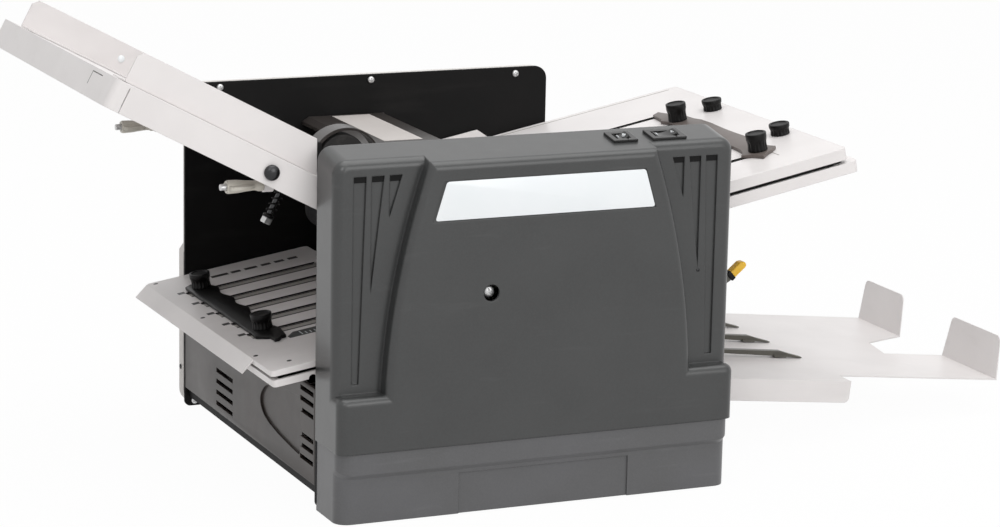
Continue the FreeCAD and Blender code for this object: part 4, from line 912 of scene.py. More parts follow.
@dataclass(frozen=True)
class StopBar:
    """Clamped bar with a stop tooth through two slots.

    Attributes:
        middle: place of the bar along the table.
        rows: Y of its two clamp screws, near and far.
        reach: how far its teeth go down.
        base: level of its underside.
        top: level of its upper side.
        tooth: half length and half width of a tooth.
        stud: radius of the clamp studs.
        stud_top: level that the studs end at.
    """

    middle: float
    rows: tuple[float, float]
    reach: float
    base: float = 0.3
    top: float = 3.3
    tooth: tuple[float, float] = (8.0, 3.1)
    stud: float = 2.5
    stud_top: float = 10.0

    def outline(self) -> list[tuple[float, float]]:
        """Edge of the bar, in table coordinates."""
        raise NotImplementedError

    def shape(self) -> Shape:
        """Bar with its teeth and studs."""
        bar = Shape.prism(self.outline(), self.base, self.top, 0.5)
        root, tip, rim = self.top - 0.3, self.stud_top, self.stud_top - 0.4
        pin = [(0, root), (self.stud, root), (self.stud, rim), (self.stud - 0.4, tip), (0, tip)]
        long, wide = self.tooth
        for y in self.rows:
            tooth = Shape.block((self.middle - long, y - wide, -self.reach),
                                (self.middle + long, y + wide, self.base + 0.5), 0.4)
            bar.join(tooth, Shape.turned(pin, 16).put(self.middle, y, 0))
        return bar


@dataclass(frozen=True)
class ArchedBar(StopBar):
    """Wide stop bar: drawn-in inner side, ends drawn out to points."""

    def outline(self) -> list[tuple[float, float]]:
        """Straight outer side, waisted inner side and two pointed ends."""
        m, (low, high) = self.middle, self.rows
        span = high - low
        near = [(m - 9, low + 18), (m - 11, low + 8), (m - 17.5, low - 1), (m - 10, low - 7),
                (m - 4.5, low - 19), (m + 4, low - 11), (m + 9, low - 8), (m + 17.5, low - 0.5),
                (m + 13, low + 9), (m + 15.5, low + 24)]
        outer = [(m + 16 - 1.5 * math.sin(math.pi * t / 8), low + 36 + (span - 72) * t / 8) for t in range(9)]
        far = [(m + 15.5, high - 18), (m + 13, high - 8), (m + 12, high + 10), (m + 4, high + 32),
               (m + 1, high + 43), (m - 7, high + 38), (m - 9, high + 16), (m - 12, high + 12),
               (m - 8, high + 2), (m - 9, high - 18)]
        inner = [(m - 6 - 2 * math.cos(math.pi * t / 4), high - 34 - (span - 68) * t / 8) for t in range(9)]
        return near + outer + far + inner


@dataclass(frozen=True)
class ScallopedBar(StopBar):
    """Narrow black stop bar with a scalloped side and a hooked pointer at its near end.

    Attributes:
        pitch: spacing of the scallops.
        crest: Y of one of their crests.
    """

    pitch: float = 40.5
    crest: float = 225.0

    def outline(self) -> list[tuple[float, float]]:
        """Scallops on the mouth's side, slanted near end with its hook."""
        m, (low, high) = self.middle, self.rows
        near = [(m - 12, high + 10), (m - 12, low - 1), (m - 13, low - 17), (m - 3, low - 27),
                (m - 3, low - 38), (m + 1, low - 38.5), (m + 5, low - 33), (m + 9, low - 33),
                (m + 12, low - 10), (m + 9, low + 4)]
        stations = [low + 10 + (high - low - 4) * t / 48 for t in range(49)]
        edge = [(m + 9.6 + 2.0 * math.cos((y - self.crest) / self.pitch * math.tau), y) for y in stations]
        return near + edge + [(m + 9, high + 12), (m - 6, high + 15)]


def bead(low: float, high: float, radius: float, y: float, level: float) -> Shape:
    """Round bend of a sheet's edge along X.

    Args:
        low: start of the bend.
        high: end of the bend.
        radius: radius of the bend.
        y: place of the bend's middle line across the table.
        level: height of the bend's middle line.

    Returns:
        The shape.
    """
    inner, shoulder = radius * 0.6, 0.6
    rod = Shape.turned([(0, low), (inner, low), (radius, low + shoulder), (radius, high - shoulder),
                        (inner, high), (0, high)], 16)
    return rod.moved(Facing.RIGHT.at(0, y, level))


def bends(low: float, high: float, rows: tuple[float, float] = (6.0, 337.0), radius: float = 1.1,
          level: float = -0.9) -> Shape:
    """Round bends along both sides of a folded sheet.

    Args:
        low: start of the bends.
        high: end of the bends.
        rows: Y of the near and the far bend.
        radius: radius of the bends.
        level: height of their middle lines.

    Returns:
        The shape.
    """
    return gathered([bead(low, high, radius, y, level) for y in rows])


# ---------------------------------------------------------------- sub-assemblies


@dataclass
class Frame:
    """Side plates and base: their screws and rivets.

    Attributes:
        far: Y of the far plate's inner face.
        plate_screw: screws of the far plate.
        plate_places: X and Z of those screws.
        foot_screw: screws that hold the feet.
        foot_places: X and Y of the feet.
        rivet: rivets of the base pan.
        rivet_places: X and Y of the rivets.
    """

    far: float = 340.0
    plate_screw: Screw = Screw(3.2, 2.6)
    plate_places: tuple[tuple[float, float], ...] = ((-145, 297), (1, 297), (146, 296), (-169, 8), (169, 8))
    foot_screw: Screw = Screw(3.0, 2.0)
    foot_places: tuple[tuple[float, float], ...] = ((-140, 30), (-140, 312), (140, 30), (140, 312))
    rivet: Screw = Screw(2.6, 1.4, Drive.NONE)
    rivet_places: tuple[tuple[float, float], ...] = (
        (-166, 60), (-166, 170), (-166, 280), (166, 60), (166, 170), (166, 280))

    def build(self) -> None:
        """Screws of the far plate and of the feet, and rivets of the pan."""
        heads = self.plate_screw.rows([Facing.NEAR.at(x, self.far, z) for x, z in self.plate_places])
        heads.publish("plate_screw_heads", MACHINE, BRIGHT_STEEL, "frame", "bright_steel", "plate_screws")
        pads = self.foot_screw.rows([Facing.DOWN.at(x, y, 2.5) for x, y in self.foot_places])
        pads.publish("foot_screws", MACHINE, BRIGHT_STEEL, "frame", "bright_steel")
        rivets = self.rivet.rows([Facing.DOWN.at(x, y, 12.0) for x, y in self.rivet_places])
        rivets.publish("pan_rivets", MACHINE, BRIGHT_STEEL, "frame", "black_steel")


@dataclass
class NearCover:
    """Moulded cover at the operator's side: bare name plate, screws and painted shade at the tops of the
    grooves.

    Attributes:
        face: Y of the raised panel.
        sink: depth of the plate's recess.
        pillar: Y of the pillars' front.
        plate: corners of the name plate in X and Z.
        plate_thick: thickness of the name plate.
        access: X and Z of the access screw in its hole.
        pillar_screw: X and Z of the small screw on the right pillar.
        grooves: edges of the grooves of one pillar along X, from the outside in.
        groove_shade_band: lower and upper level of the black blocks that paint the shade at the grooves'
            tops.
    """

    face: float = -54.0
    sink: float = 0.8
    pillar: float = -40.0
    plate: tuple[tuple[float, float], ...] = ((-97.6, 249.7), (99.2, 249.7), (89.6, 281.6), (-87.8, 281.6))
    plate_thick: float = 0.75
    access: tuple[float, float] = (-47, 187)
    pillar_screw: tuple[float, float] = (148.1, 189.1)
    grooves: tuple[tuple[float, float], ...] = ((152.3, 162.7), (137.2, 147.2), (122.2, 131.7))
    groove_shade_band: tuple[float, float] = (282.0, 286.9)

    def build(self) -> None:
        """Plate in its recess, the access screw, a small pillar screw and painted shade at the grooves' tops.
        """
        plate = Shape.prism(self.plate, 0.0, self.plate_thick)
        plate.soften(2.2, 4, lambda edge: climb(edge) > 0.5)
        plate.soften(0.15, 2, lambda edge: climb(edge) < 0.1)
        plate.moved(Facing.NEAR.at(0, self.face + self.sink, 0))
        plate.publish("name_plate", MACHINE, PLATE_WHITE, "frame", "light_cover")
        x, z = self.access
        screw = Screw(5.2, 3.4).shape().moved(Facing.NEAR.at(x, self.face + 7.9, z))
        screw.publish("access_screw", MACHINE, BRIGHT_STEEL, "frame", "bright_steel")
        x, z = self.pillar_screw
        small = Screw(1.6, 0.7, Drive.SOCKET).shape().moved(Facing.NEAR.at(x, self.pillar, z))
        small.publish("pillar_screw", MACHINE, GUN_METAL, "frame", "bright_steel")
        # The vents below are black blocks in the tops of the grooves: painted shade under the grooves' upper
        # edges.
        front, back = self.pillar + 0.9, self.pillar + 2.0
        foot, top = self.groove_shade_band
        spans = [sorted((side * low, side * high)) for side in (-1, 1) for low, high in self.grooves]
        vents = gathered([Shape.block((left, front, foot), (right, back, top)) for left, right in spans])
        vents.publish("groove_painted_shade", MACHINE, BLACK_STEEL_AND_SHADE, "frame", "grey_cover")


@dataclass
class FarCover:
    """Shallow cover behind the far plate: its shell and screws.

    Attributes:
        face: Y of its outer face.
        inside: Y of its open side.
        edge: corners of the shell in X and Z.
        corner: radius of its rounded corners.
        rim: radius round its outer face.
        notch: Z of the step in its left side.
        hollow: lowest and highest corner of its inside in X and Z.
        socket: lowest and highest corner of the power inlet's opening in X and Z.
        cover_screw: screws of its outer face.
        cover_rows: X and Z of the rows that they stand in.
        side_screw: screws of its left side.
        side_levels: Z of the side screws.
    """

    face: float = 358.0
    inside: float = 343.0
    edge: tuple[tuple[float, float], ...] = (
        (-178.5, 4), (178.5, 4), (178.5, 301), (-174.5, 301), (-174.5, 153), (-178.5, 147))
    corner: float = 12.0
    rim: float = 3.0
    notch: float = 152.5
    hollow: tuple[tuple[float, float], ...] = ((-170.5, 8), (174.5, 297))
    socket: tuple[tuple[float, float], ...] = ((-140, 30), (-112, 50))
    cover_screw: Screw = Screw(3.6, 1.8)
    cover_rows: tuple[tuple[float, ...], ...] = ((-150, 0, 150), (24, 282))
    side_screw: Screw = Screw(2.4, 1.2)
    side_levels: tuple[float, float] = (38, 110)

    def shell(self) -> Shape:
        """Shell with rounded corners, drawn in above the fold table on the left."""
        outside = 0.1 - self.face
        shell = Shape.prism(self.edge, -self.face, -self.inside)
        shell.soften(self.corner, 6, lambda edge: climb(edge) > 9
                     and abs(edge.verts[0].co.y - self.notch) > 140)
        shell.soften(self.rim, 4, lambda edge: all(vert.co.z < outside for vert in edge.verts))
        hollow = Shape.block((*self.hollow[0], 2 - self.face), (*self.hollow[1], 1 - self.inside))
        socket = Shape.block((*self.socket[0], -1 - self.face), (*self.socket[1], 1 - self.inside))
        return shell.carve(hollow).carve(socket).tidy().moved(Facing.NEAR.at(0, 0, 0))

    def build(self) -> None:
        """Shell, six screws and two side screws."""
        self.shell().publish("far_shell", MACHINE, LIGHT_COVER, "frame", "light_cover", "far_cover")
        columns, levels = self.cover_rows
        places = [(x, z) for x in columns for z in levels]
        heads = self.cover_screw.rows([Facing.FAR.at(x, self.face - 0.2, z) for x, z in places])
        heads.publish("far_cover_screws", MACHINE, BRIGHT_STEEL, "frame", "bright_steel")
        sides = self.side_screw.rows([Facing.LEFT.at(-178.4, 351, z) for z in self.side_levels])
        sides.publish("far_side_screws", MACHINE, GUN_METAL, "frame", "bright_steel")


@dataclass
class EndCover:
    """Moulded end cover under fold table 2: vents and a smooth scoop.

    Attributes:
        face: X of its outer face.
        wall: its thickness.
        edge: corners of the cover in Y and Z.
        scoop: edge of the scoop in Y and Z.
        vents: start and end of each row of vents along Y, and the vents' lower edges.
        vent_height: height of one vent.
        lug: start and end of the foot's lug along Y, and its lower and upper level.
    """

    face: float = -178.0
    wall: float = 3.0
    edge: tuple[tuple[float, float], ...] = ((3.5, 21), (339.5, 21), (339.5, 103), (3.5, 103))
    scoop: tuple[tuple[float, float], ...] = (
        (38, 88), (100, 84), (125, 76), (136, 66), (137, 58), (128, 50), (112, 45.5), (90, 42), (60, 39),
        (38, 37.5))
    vents: tuple[tuple[float, float, tuple[float, ...]], ...] = (
        (208, 252, (27, 37, 47, 57)), (7, 38, (36, 46, 55, 76, 86, 95)))
    vent_height: float = 4.0
    lug: tuple[float, float, float, float] = (150, 190, 21, 25)

    def plate(self) -> Shape:
        """Plate with its scoop and vents cut."""
        body = Shape.prism(self.edge, -self.wall, 0.0, 0.4)
        bowl = Shape.prism(list(reversed(self.scoop)), -1.8, 3.0)
        bowl.soften(9, 5, lambda edge: climb(edge) > 2)
        body.carve(bowl)
        for low, high, levels in self.vents:
            for level in levels:
                body.carve(Shape.block((low, level, -4), (high, level + self.vent_height, 1)))
        return body.tidy()

    def build(self) -> None:
        """The cover with a lug at its foot."""
        turn = Matrix(((0, 0, -1, self.face), (1, 0, 0, 0), (0, 1, 0, 0), (0, 0, 0, 1)))
        cover = self.plate().moved(turn).tidy()
        near, far, low, high = self.lug
        cover.join(Shape.block((self.face + self.wall, near, low), (self.face + 13, far, high), 0.4))
        cover.publish("vented_end_cover", MACHINE, DARK_COVER, "frame", "dark_cover", "left_end_cover")


@dataclass
class Hood:
    """Cover over the upper rollers: its bare label and the stop of the wheel's guard.

    Attributes:
        top: level of the hood's flat.
        edges: Y of its near and its far edge.
        fold: start and end of its folded edges along X.
        label: lowest and highest corner of the label in X and Y.
        stop: lowest and highest corner of the guard's stop.
    """

    top: float = 266.0
    edges: tuple[float, float] = (4.6, 338.4)
    fold: tuple[float, float] = (-58, 14)
    label: tuple[tuple[float, float], ...] = ((-39, 205), (-2.5, 334))
    stop: tuple[tuple[float, float, float], ...] = ((-123.6, 163.2, 256), (-113, 183.8, 277))

    def build(self) -> None:
        """Label on the flat of the hood, folded edges and the guard's stop."""
        label = Shape.block((*self.label[0], self.top), (*self.label[1], self.top + 0.2))
        label.publish("hood_label", MACHINE, LABEL_WHITE, "frame", "dark_steel")
        trim = bends(*self.fold, self.edges, 0.9, self.top - 0.8)
        trim.publish("hood_edges", MACHINE, HOOD_STEEL, "frame", "dark_steel")
        stop = Shape.block(*self.stop, 1.2)
        stop.publish("guard_stop", MACHINE, BLACK_PLASTIC, "frame", "dark_steel")


@dataclass
class FeedTable:
    """Feed table: bends, screws, wing nuts, separator and the slits in its end flange.

    Attributes:
        bent: start and end of its bent sides.
        nut: Y of the wing nuts, near and far.
        nut_root: X and Z of the wing nuts' roots in the machine.
        nut_long: length of a wing nut.
        wing: half width across the wings.
        pivot: place of the pivots along the table and their level.
        pivot_rows: Y of the pivot heads' seats, near and far.
        bolt: place of the separator's bolt on the table.
    """

    bent: tuple[float, float] = (9, 306)
    nut: tuple[float, float] = (30.0, 313.0)
    nut_root: tuple[float, float] = (-215.3, 271)
    nut_long: float = 31.0
    wing: float = 11.0
    pivot: tuple[float, float] = (151.8, -13.4)
    pivot_rows: tuple[float, float] = (4.5, 338.5)
    bolt: tuple[float, float, float] = (214, 118, 0)

    def wing_nut(self) -> Shape:
        """Moulded nut: collar, waisted hub and two flat wings with thick rims."""
        long, wing = self.nut_long, self.wing
        hub = Shape.turned([(2.8, 0), (4.8, 0), (5, 0.6), (5, 3.8), (4.2, 5.4), (4, 8), (4.6, long - 16),
                            (5.4, long - 9), (5.6, long - 1.4), (5, long), (3.4, long), (2.8, long - 0.6),
                            (2.8, 0)], 28)
        for side in (-1, 1):
            outline = [(3.2, 8), (4.8, 8), (8, 12), (wing, long - 10), (wing, long - 3),
                       (wing - 1.6, long - 1), (3.2, long - 1)]
            blade = Shape.prism([(side * reach, level) for reach, level in outline], -1.6, 1.6)
            blade.soften(0.7, 3)
            hub.join(blade.moved(Matrix.Rotation(math.pi / 2, 4, "Z") @ Facing.NEAR.value))
        return hub

    def build(self) -> None:
        """All small parts of the table."""
        bends(*self.bent).publish("feed_table_bends", FEED_TABLE, WHITE_COAT, "feed_table", "white_coat")
        slit = Shape.block((-0.06, 39, -4.1), (0.1, 65, -3.3))
        slit.join(Shape.block((-0.06, 64.2, -15), (0.1, 65, -3.3)))
        slit.publish("end_flange_slits", FEED_TABLE, INK_AND_SHADE, "feed_table", "white_coat")
        self.guide_screws()
        for side, y in zip(SIDES, self.nut):
            place = Place(*self.nut_root, tilt=-90, y=y)
            node = f"{side}_wing_nut"
            self.wing_nut().publish(f"{side}_winged_nut", place, IVORY_PLASTIC, node, "ivory_plastic", node)
            tip = Shape.turned([(0, 30.5), (2.7, 30.5), (2.7, 35.4), (2.2, 36.1), (0, 36.1)], 16)
            tip.publish(f"{side}_stud_tip", place, BRIGHT_STEEL, f"{side}_guide", "white_coat")
        self.pivots()
        self.separator()

    def guide_screws(self) -> None:
        """Plain screws in the upright sides of the guides."""
        near = Screw(3.4, 1.6, Drive.NONE).shape().moved(Facing.FAR.at(60, 13.3, 13))
        near.publish("near_guide_screw", FEED_TABLE, WHITE_COAT, "near_guide", "white_coat")
        far = Screw(3.2, 1.8, Drive.NONE).rows([Facing.NEAR.at(110.2, 329.7, 13.2)])
        far.join(Screw(1.2, 0.5, Drive.NONE).shape().moved(Facing.NEAR.at(162.1, 329.7, 16.0)))
        far.publish("far_guide_screw", FEED_TABLE, PLATE_WHITE, "far_guide", "white_coat")

    def pivots(self) -> None:
        """Domed screws that the table tilts on."""
        angles = [step * math.pi / 16 for step in range(8)]
        dome = [(6.5 * math.cos(angle), 1.6 + 3.2 * math.sin(angle)) for angle in angles]
        profile = [(0, -10.5), (4, -10.5), (4, 0), (6.5, 0), *dome, (0, 4.8)]
        along, level = self.pivot
        heads = gathered([Shape.turned(profile).moved(facing.at(along, y, level))
                          for y, facing in zip(self.pivot_rows, (Facing.NEAR, Facing.FAR))])
        heads.publish("pivot_heads", FEED_TABLE, GUN_METAL, "frame", "black_steel", "table_pivot_screws")

    def separator(self) -> None:
        """Bolt of the separator: dark shank, bright hexagon nut and dark lock collar."""
        bolt = Shape.turned([(0, -53), (2.2, -53), (2.5, -52.5), (2.5, -6), (4.5, -6), (4.5, -5.5),
                             (4.3, -5.3), (0, -5.3)], 20).put(*self.bolt)
        bolt.publish("separator_screw", FEED_TABLE, GUN_METAL, "frame", "bright_steel", "separator_bolt")
        nut = Shape.turned([(0, -56), (4.4, -56), (5, -55.3), (5, -51), (4.6, -50.6), (0, -50.6)], 6)
        nut.put(*self.bolt).publish("separator_nut", FEED_TABLE, BRIGHT_STEEL, "frame", "bright_steel")
        collar = Shape.turned([(0, -50.4), (5, -50.4), (5, -48.4), (4.6, -48), (0, -48)], 24)
        collar.put(*self.bolt).publish("separator_collar", FEED_TABLE, BLACK_PLASTIC, "frame", "black_steel")


@dataclass(frozen=True)
class FoldTable:
    """What both fold tables have: a deck with bent sides and a stop bar on two clamp knobs.

    Attributes:
        number: number of the table.
        place: coordinates of its upper deck.
        bar: its stop bar.
        knob: clamp knobs of the stop bar.
        knob_seat: level that they stand on.
        bent: start and end of its bent sides.
    """

    number: int
    place: Place
    bar: StopBar
    knob: Knob
    bent: tuple[float, float]
    knob_seat: float = 3.6

    def knobs(self) -> None:
        """Clamp knobs on the studs of the stop bar."""
        for side, y in zip(SIDES, self.bar.rows):
            node = f"table_{self.number}_knob_{side}"
            knob = self.knob.shape().put(self.bar.middle, y, self.knob_seat)
            name = f"{side}_stop_knob_{self.number}"
            knob.publish(name, self.place, BLACK_PLASTIC, node, "black_plastic", node)

    def sides(self) -> None:
        """Bends along both sides."""
        name = f"fold_table_{self.number}_bends"
        bends(*self.bent).publish(name, self.place, WHITE_COAT, "frame", "white_coat")


@dataclass(frozen=True)
class FoldTable1(FoldTable):
    """Upper right fold table, with locking knobs at its outer end.

    Attributes:
        low: knob that locks the table.
        locks: Y of the locking knobs.
        lock_row: place of the locking knobs along the table.
        slots: start and end of the six slots, from the near one.
        first_slot: Y of the nearest slot.
        slot_pitch: spacing of the slots.
    """

    number: int = 1
    place: Place = UPPER_1
    bar: StopBar = ArchedBar(272.5, (58.3, 214.3), 12.6)
    knob: Knob = Knob()
    bent: tuple[float, float] = (4, 326)
    low: Knob = Knob(10.0)
    locks: tuple[float, float] = (97.0, 228.0)
    lock_row: float = 315.5
    slots: tuple[tuple[float, float], ...] = (
        (91, 287), (31, 271), (31, 271), (31, 271), (91, 287), (31, 271))
    first_slot: float = 58.25
    slot_pitch: float = 39.0

    def build(self) -> None:
        """Bar, knobs, bends, painted shade between the plates and in and under the slots, and marks on the
        deck.
        """
        bar = self.bar.shape()
        bar.publish("arched_stop_bar", self.place, BAR_STEEL, "stop_bar_1", "dark_steel", "stop_bar_1")
        self.knobs()
        for side, y in zip(SIDES, self.locks):
            node = f"lock_knob_{side}"
            knob = self.low.shape().put(self.lock_row, y, 0.3)
            knob.publish(f"{side}_lock_knob", self.place, BLACK_PLASTIC, node, "black_plastic", node)
        self.sides()
        # Black strip and sheets that paint the shade between the plates and in and under the slots.
        self.painted_shade().publish("fold_table_1_painted_shade", self.place, BLACK_STEEL_AND_SHADE, "frame", "black_steel")
        mark = Shape.block((282, 39, 0.0), (283, 53, 0.12))
        mark.join(Shape.block((40, 331, 0.0), (322, 332, 0.15)))
        mark.publish("fold_table_1_marks", self.place, GREY_INK_AND_SHADE, "frame", "white_coat")

    def painted_shade(self) -> Shape:
        """Painted shade: a black strip in the gap between the plates, black ground under the slots and black
        on the slots' far walls.
        """
        gap_shade = Shape.block((14, 5.6, -11.6), (324, 6.8, -9.6))
        # Black ground on the lower plate, seen through the slots: painted shade.
        ground = Shape.block((20, 8, -13.1), (318, 335, -13.0))
        for number, (low, high) in enumerate(self.slots):
            row = self.first_slot + self.slot_pitch * number
            # Black on each slot's far wall: painted shade.
            ground.join(Shape.block((low, row + 3.4, -1.2), (high, row + 3.5, 0.05)))
        return gap_shade.join(ground)


@dataclass(frozen=True)
class FoldTable2(FoldTable):
    """Lower left fold table, with holes, dashes, painted shade at its slots and a scale on its deck.

    Attributes:
        slots: Y of the slots in its deck.
        slot_run: start and end of the slots along the table.
        dashes: start and end of each dash along the far side.
        holes: places of the small holes.
        scale_edge: corners of the scale.
        ticks: first and last place of the scale's ticks and their spacing.
    """

    number: int = 2
    place: Place = UPPER_2
    bar: StopBar = ScallopedBar(-123.0, (116.25, 278.25), 7.6)
    knob: Knob = Knob(13.0)
    bent: tuple[float, float] = (-153, -3)
    slots: tuple[float, ...] = (116.25, 156.75, 197.25, 237.75, 278.25)
    slot_run: tuple[float, float] = (-137, -14)
    dashes: tuple[tuple[float, float], ...] = (
        (-103, -87), (-84, -75), (-71, -59), (-55, -46), (-42, -33), (-29, -20))
    holes: tuple[tuple[float, float], ...] = ((-149, 332), (-150.4, 196), (-151.6, 56), (-134.4, 22))
    scale_edge: tuple[tuple[float, float], ...] = ((-112, 80), (-8, 80), (-8, 95), (-104, 95), (-112, 86))
    ticks: tuple[int, int, int] = (-100, -10, 4)

    def build(self) -> None:
        """Bar, knobs, marks with painted shade at the slots, grey strips and a black sheet of painted shade,
        scale and bends.
        """
        bar = self.bar.shape()
        bar.publish("scalloped_stop_bar", self.place, BLACK_PLASTIC, "stop_bar_2", "black_steel",
                    "stop_bar_2")
        self.knobs()
        # Dashes and holes, with painted shade at the slots.
        self.marks().publish("deck_marks_and_shade_2", self.place, INK_AND_SHADE, "frame", "white_coat")
        low, high = self.slot_run
        # Grey strips on the near side of each slot: painted shade.
        slot_shades = gathered([Shape.block((low, row - 11.6, 0.0), (high, row - 3.6, 0.1)) for row in self.slots])
        slot_shades.publish("slot_shade_strips_2", self.place, GREY_INK_AND_SHADE, "frame", "white_coat")
        # Black sheet on the lower deck, seen through the slots: painted shade in the channel.
        painted_shade = Shape.block((-150, 8, -8.1), (-8, 335, -8.0))
        painted_shade.publish("fold_table_2_painted_shade", self.place, BLACK_STEEL_AND_SHADE, "frame", "black_steel")
        self.scale()
        self.sides()

    def marks(self) -> Shape:
        """Dashes at the far side and holes, with painted shade at the slots: dark lines beside them, black on
        their far walls and dark ends past them.
        """
        marks = gathered([Shape.block((low, 307.2, 0.0), (high, 313.4, 0.12)) for low, high in self.dashes])
        low, high = self.slot_run
        for row in self.slots:
            # Painted shade at each slot: a dark line beside its near side, black on its far wall and a dark
            # end past it.
            marks.join(Shape.block((low, row - 13.8, 0.0), (high, row - 11.6, 0.12)),
                       Shape.block((low, row + 3.4, -1.2), (high, row + 3.5, 0.05)),
                       Shape.block((low - 7, row + 2.0, 0.0), (low - 0.6, row + 8.0, 0.12)))
        hole = [(0, 0), (2.1, 0), (2.1, 0.1), (0, 0.1)]
        return marks.join(gathered([Shape.turned(hole, 20).put(along, y, 0) for along, y in self.holes]))

    def scale(self) -> None:
        """Scale at the near side with a longer tick at every fifth place."""
        scale = Shape.prism(self.scale_edge, 0.0, 0.12)
        scale.publish("near_scale", self.place, SCALE_INK, "frame", "white_coat")
        ticks = gathered([Shape.block((along, 82, 0.1), (along + 0.8, 88 if number % 5 else 92, 0.2))
                          for number, along in enumerate(range(*self.ticks))])
        ticks.publish("near_scale_ticks", self.place, PLATE_WHITE, "frame", "white_coat")


@dataclass
class Exit:
    """Exit tray and stacker: bends of the tray and the collar of the lifting lever.

    Attributes:
        bent: start and end of the tray's bends.
        rows: Y of the tray's near and far bend.
        grip: place of the grip's root in the machine.
        slant: turn of the grip about Y in degrees.
    """

    bent: tuple[float, float] = (0.5, 188)
    rows: tuple[float, float] = (51.0, 337.0)
    grip: tuple[float, float, float] = (234.2, 66, 155.5)
    slant: float = -41.0

    def build(self) -> None:
        """Bends along the tray and the collar at the grip's root."""
        trim = bends(*self.bent, self.rows)
        trim.publish("exit_tray_bends", EXIT_TRAY, WHITE_COAT, "frame", "white_coat")
        turn = Matrix.Rotation(math.radians(self.slant), 4, "Y")
        collar = Shape.block((-2.2, -4.9, -4.2), (2.2, 4.9, 4.2), 0.7)
        collar.moved(Matrix.Translation(self.grip) @ turn)
        collar.publish("grip_collar", MACHINE, BLACK_PLASTIC, "stacker", "black_steel")


@dataclass
class Switches:
    """Panel switches: generic on and off marks on the rockers.

    Attributes:
        rockers: left and right edge of each switch, by its body.
        middle: Y of the marks.
        stroke: half length of the bar for on.
    """

    rockers: tuple[tuple[str, float, float], ...] = (("feed_rocker", 70, 92), ("power_rocker", 106, 137))
    middle: float = -22.5
    stroke: float = 2.2

    def build(self) -> None:
        """A bar for on at the left and a ring for off at the right of each rocker."""
        near, far = self.middle - self.stroke, self.middle + self.stroke
        for body, low, high in self.rockers:
            bar = Shape.block((low + 7.6, near, 1.0), (low + 8.2, far, 2.32), 0.1)
            ring = Shape.turned([(1.1, 0.9), (1.6, 0.9), (1.6, 3.45), (1.1, 3.45), (1.1, 0.9)], 24)
            bar.join(ring.put(high - 8.6, self.middle, 0))
            bar.publish(f"{body}_marks", COVER_TOP, PLATE_WHITE, body, "black_plastic")


# ---------------------------------------------------------------- studio


@dataclass(frozen=True)
class Lamp:
    """Square soft box that looks at the machine's middle.

    Attributes:
        name: name of the lamp.
        where: its place in metres.
        size: length of its side in metres.
        power: its power in watts.
        aim: the point that it looks at, in metres.
    """

    name: str
    where: tuple[float, float, float]
    size: float
    power: float
    aim: tuple[float, float, float] = (-0.05, -0.1, 0.2)

    def build(self) -> None:
        """Hang the lamp and turn it to its aim."""
        light = bpy.data.lights.new(self.name, "AREA")
        light.shape, light.size, light.energy = "SQUARE", self.size, self.power
        where = Vector(self.where)
        turn = (Vector(self.aim) - where).to_track_quat("-Z", "Y")
        add_object(self.name, light).matrix_world = Matrix.Translation(where) @ turn.to_matrix().to_4x4()


LAMPS = (
    Lamp("top_box", (0.1, -0.3, 2.2), 2.2, 31.0),
    Lamp("front_box", (0.7, -2.9, 1.2), 1.6, 20.0),
    Lamp("left_box", (-1.1, -2.0, 1.7), 0.8, 8.0),
)


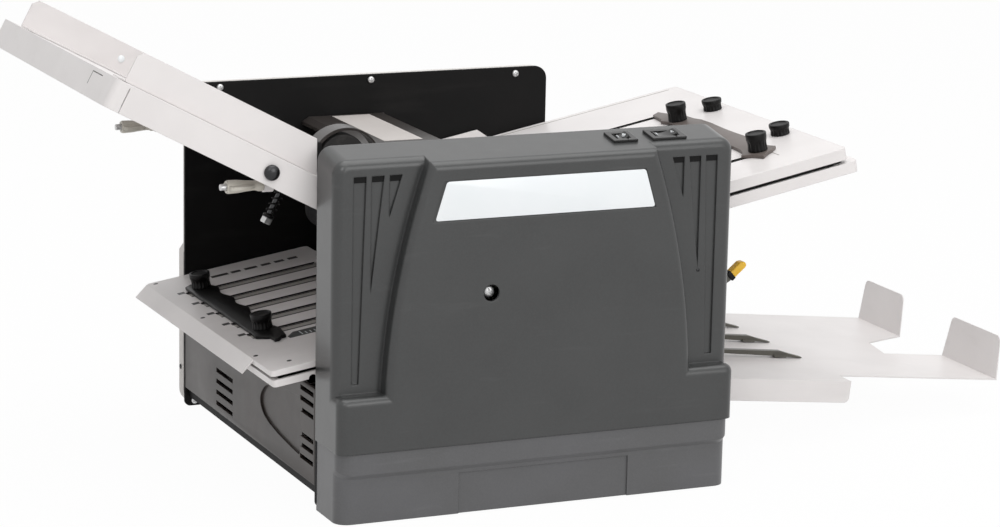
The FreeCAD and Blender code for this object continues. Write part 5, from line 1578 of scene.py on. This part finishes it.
@dataclass(frozen=True)
class Studio:
    """Floor, lamps, world and camera.

    Attributes:
        yaw: camera's turn to the right in degrees.
        pitch: camera's downward tilt in degrees.
        roll: camera's roll in degrees.
        lens: focal length on the sensor.
        sensor: width of the sensor.
        stand: the camera's place in metres.
        ambient: strength of the world's light on the object.
        glow: share of pure white in the floor that the camera sees.
        floor_colour: colour of the floor that the shadow falls on.
        floor_level: height of the floor in metres, just under the feet.
    """

    yaw: float = 23.926
    pitch: float = 12.632
    roll: float = 1.198
    lens: float = 119.30
    sensor: float = 36.0
    stand: tuple[float, float, float] = (-1.1932, -2.6090, 0.8001)
    ambient: float = 0.5
    glow: float = 0.97
    floor_colour: tuple[float, float, float, float] = (0.86, 0.855, 0.85, 1)
    floor_level: float = -0.0003

    def backdrop(self, sheet: Sheet) -> Signal:
        """One for rays that show the background: camera, glossy and transmission.

        Args:
            sheet: nodes that it is added to.

        Returns:
            The mask.
        """
        total = sheet.add("LightPath", output="Is Camera Ray")
        for name in ("Is Glossy Ray", "Is Transmission Ray"):
            ray = sheet.add("LightPath", output=name)
            total = sheet.add("Math", {"operation": "ADD", "use_clamp": True}, {0: total, 1: ray})
        return total

    def world(self) -> None:
        """White behind the object, soft light on it."""
        world = bpy.data.worlds.new("studio")
        bpy.context.scene.world = world
        world.use_nodes = True
        sheet = Sheet(world.node_tree)
        back = world.node_tree.nodes["Background"].inputs
        back["Color"].default_value = (1.0, 1.0, 1.0, 1.0)
        strength = sheet.add("MapRange", {}, {0: self.backdrop(sheet), 3: self.ambient, 4: 1.0})
        sheet.feed(back["Strength"], strength)

    def floor(self) -> None:
        """Pale floor that keeps the shadow and looks white."""
        shape = Shape()
        bmesh.ops.create_grid(shape.mesh, x_segments=1, y_segments=1, size=12.0,
                              matrix=Matrix.Translation((0, 0, self.floor_level)))
        mesh = shape.baked("floor")
        floor = add_object("floor", mesh)
        material = blank_material("floor_white")
        sheet = Sheet(material.node_tree)
        nodes = material.node_tree.nodes
        shader = nodes["Principled BSDF"]
        shader.inputs["Base Color"].default_value = self.floor_colour
        shader.inputs["Roughness"].default_value = 1.0
        shader.inputs["Specular IOR Level"].default_value = 0.0
        white = sheet.add("Emission", {}, {"Color": (1, 1, 1, 1), "Strength": 1.0})
        share = self.backdrop(sheet) * self.glow
        blend = sheet.add("MixShader", {}, {0: share, 1: Signal(sheet, shader.outputs[0]), 2: white})
        sheet.feed(nodes["Material Output"].inputs[0], blend)
        mesh.materials.append(material)

    def camera(self) -> None:
        """Camera at the viewing angle, far off with a long lens."""
        yaw, pitch, roll = (math.radians(angle) for angle in (self.yaw, self.pitch, self.roll))
        forward = Vector((math.sin(yaw) * math.cos(pitch), math.cos(yaw) * math.cos(pitch), -math.sin(pitch)))
        right = Vector((math.cos(yaw), -math.sin(yaw), 0))
        up = right.cross(forward)
        across = math.cos(roll) * right + math.sin(roll) * up
        above = -math.sin(roll) * right + math.cos(roll) * up
        data = bpy.data.cameras.new("camera")
        data.lens, data.sensor_width, data.clip_end = self.lens, self.sensor, 50.0
        camera = add_object("camera", data)
        turn = Matrix((across, above, -forward)).transposed().to_4x4()
        camera.matrix_world = Matrix.Translation(self.stand) @ turn
        bpy.context.scene.camera = camera

    def build(self) -> None:
        """Set the whole studio up."""
        bpy.context.scene.view_settings.view_transform = "Standard"
        self.world()
        self.floor()
        for lamp in LAMPS:
            lamp.build()
        self.camera()


# ---------------------------------------------------------------- main


def dress(frame: dict) -> None:
    """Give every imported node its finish.
    """
    for part in frame["record"]["subparts"]:
        finish = NODE_FINISHES.get(part["node"], SLOT_FINISHES[part["material_slot"]])
        mesh = frame["nodes"][part["node"]].data
        mesh.materials.clear()
        mesh.materials.append(finish.material())
        LOG.info("%s wears %s", part["node"], finish.name)


def main() -> None:
    """Load the frame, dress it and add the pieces."""
    logging.basicConfig(level=logging.INFO, format="%(name)s %(message)s")
    for old in list(bpy.data.objects):
        bpy.data.objects.remove(old)
    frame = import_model()
    dress(frame)
    for part in (Studio(), Frame(), NearCover(), FarCover(), EndCover(), Hood(), FeedTable(), FoldTable1(),
                 FoldTable2(), Exit(), Switches()):
        part.build()
        LOG.info("built %s", type(part).__name__)
    bpy.context.view_layer.update()


if __name__ == "__main__":
    main()
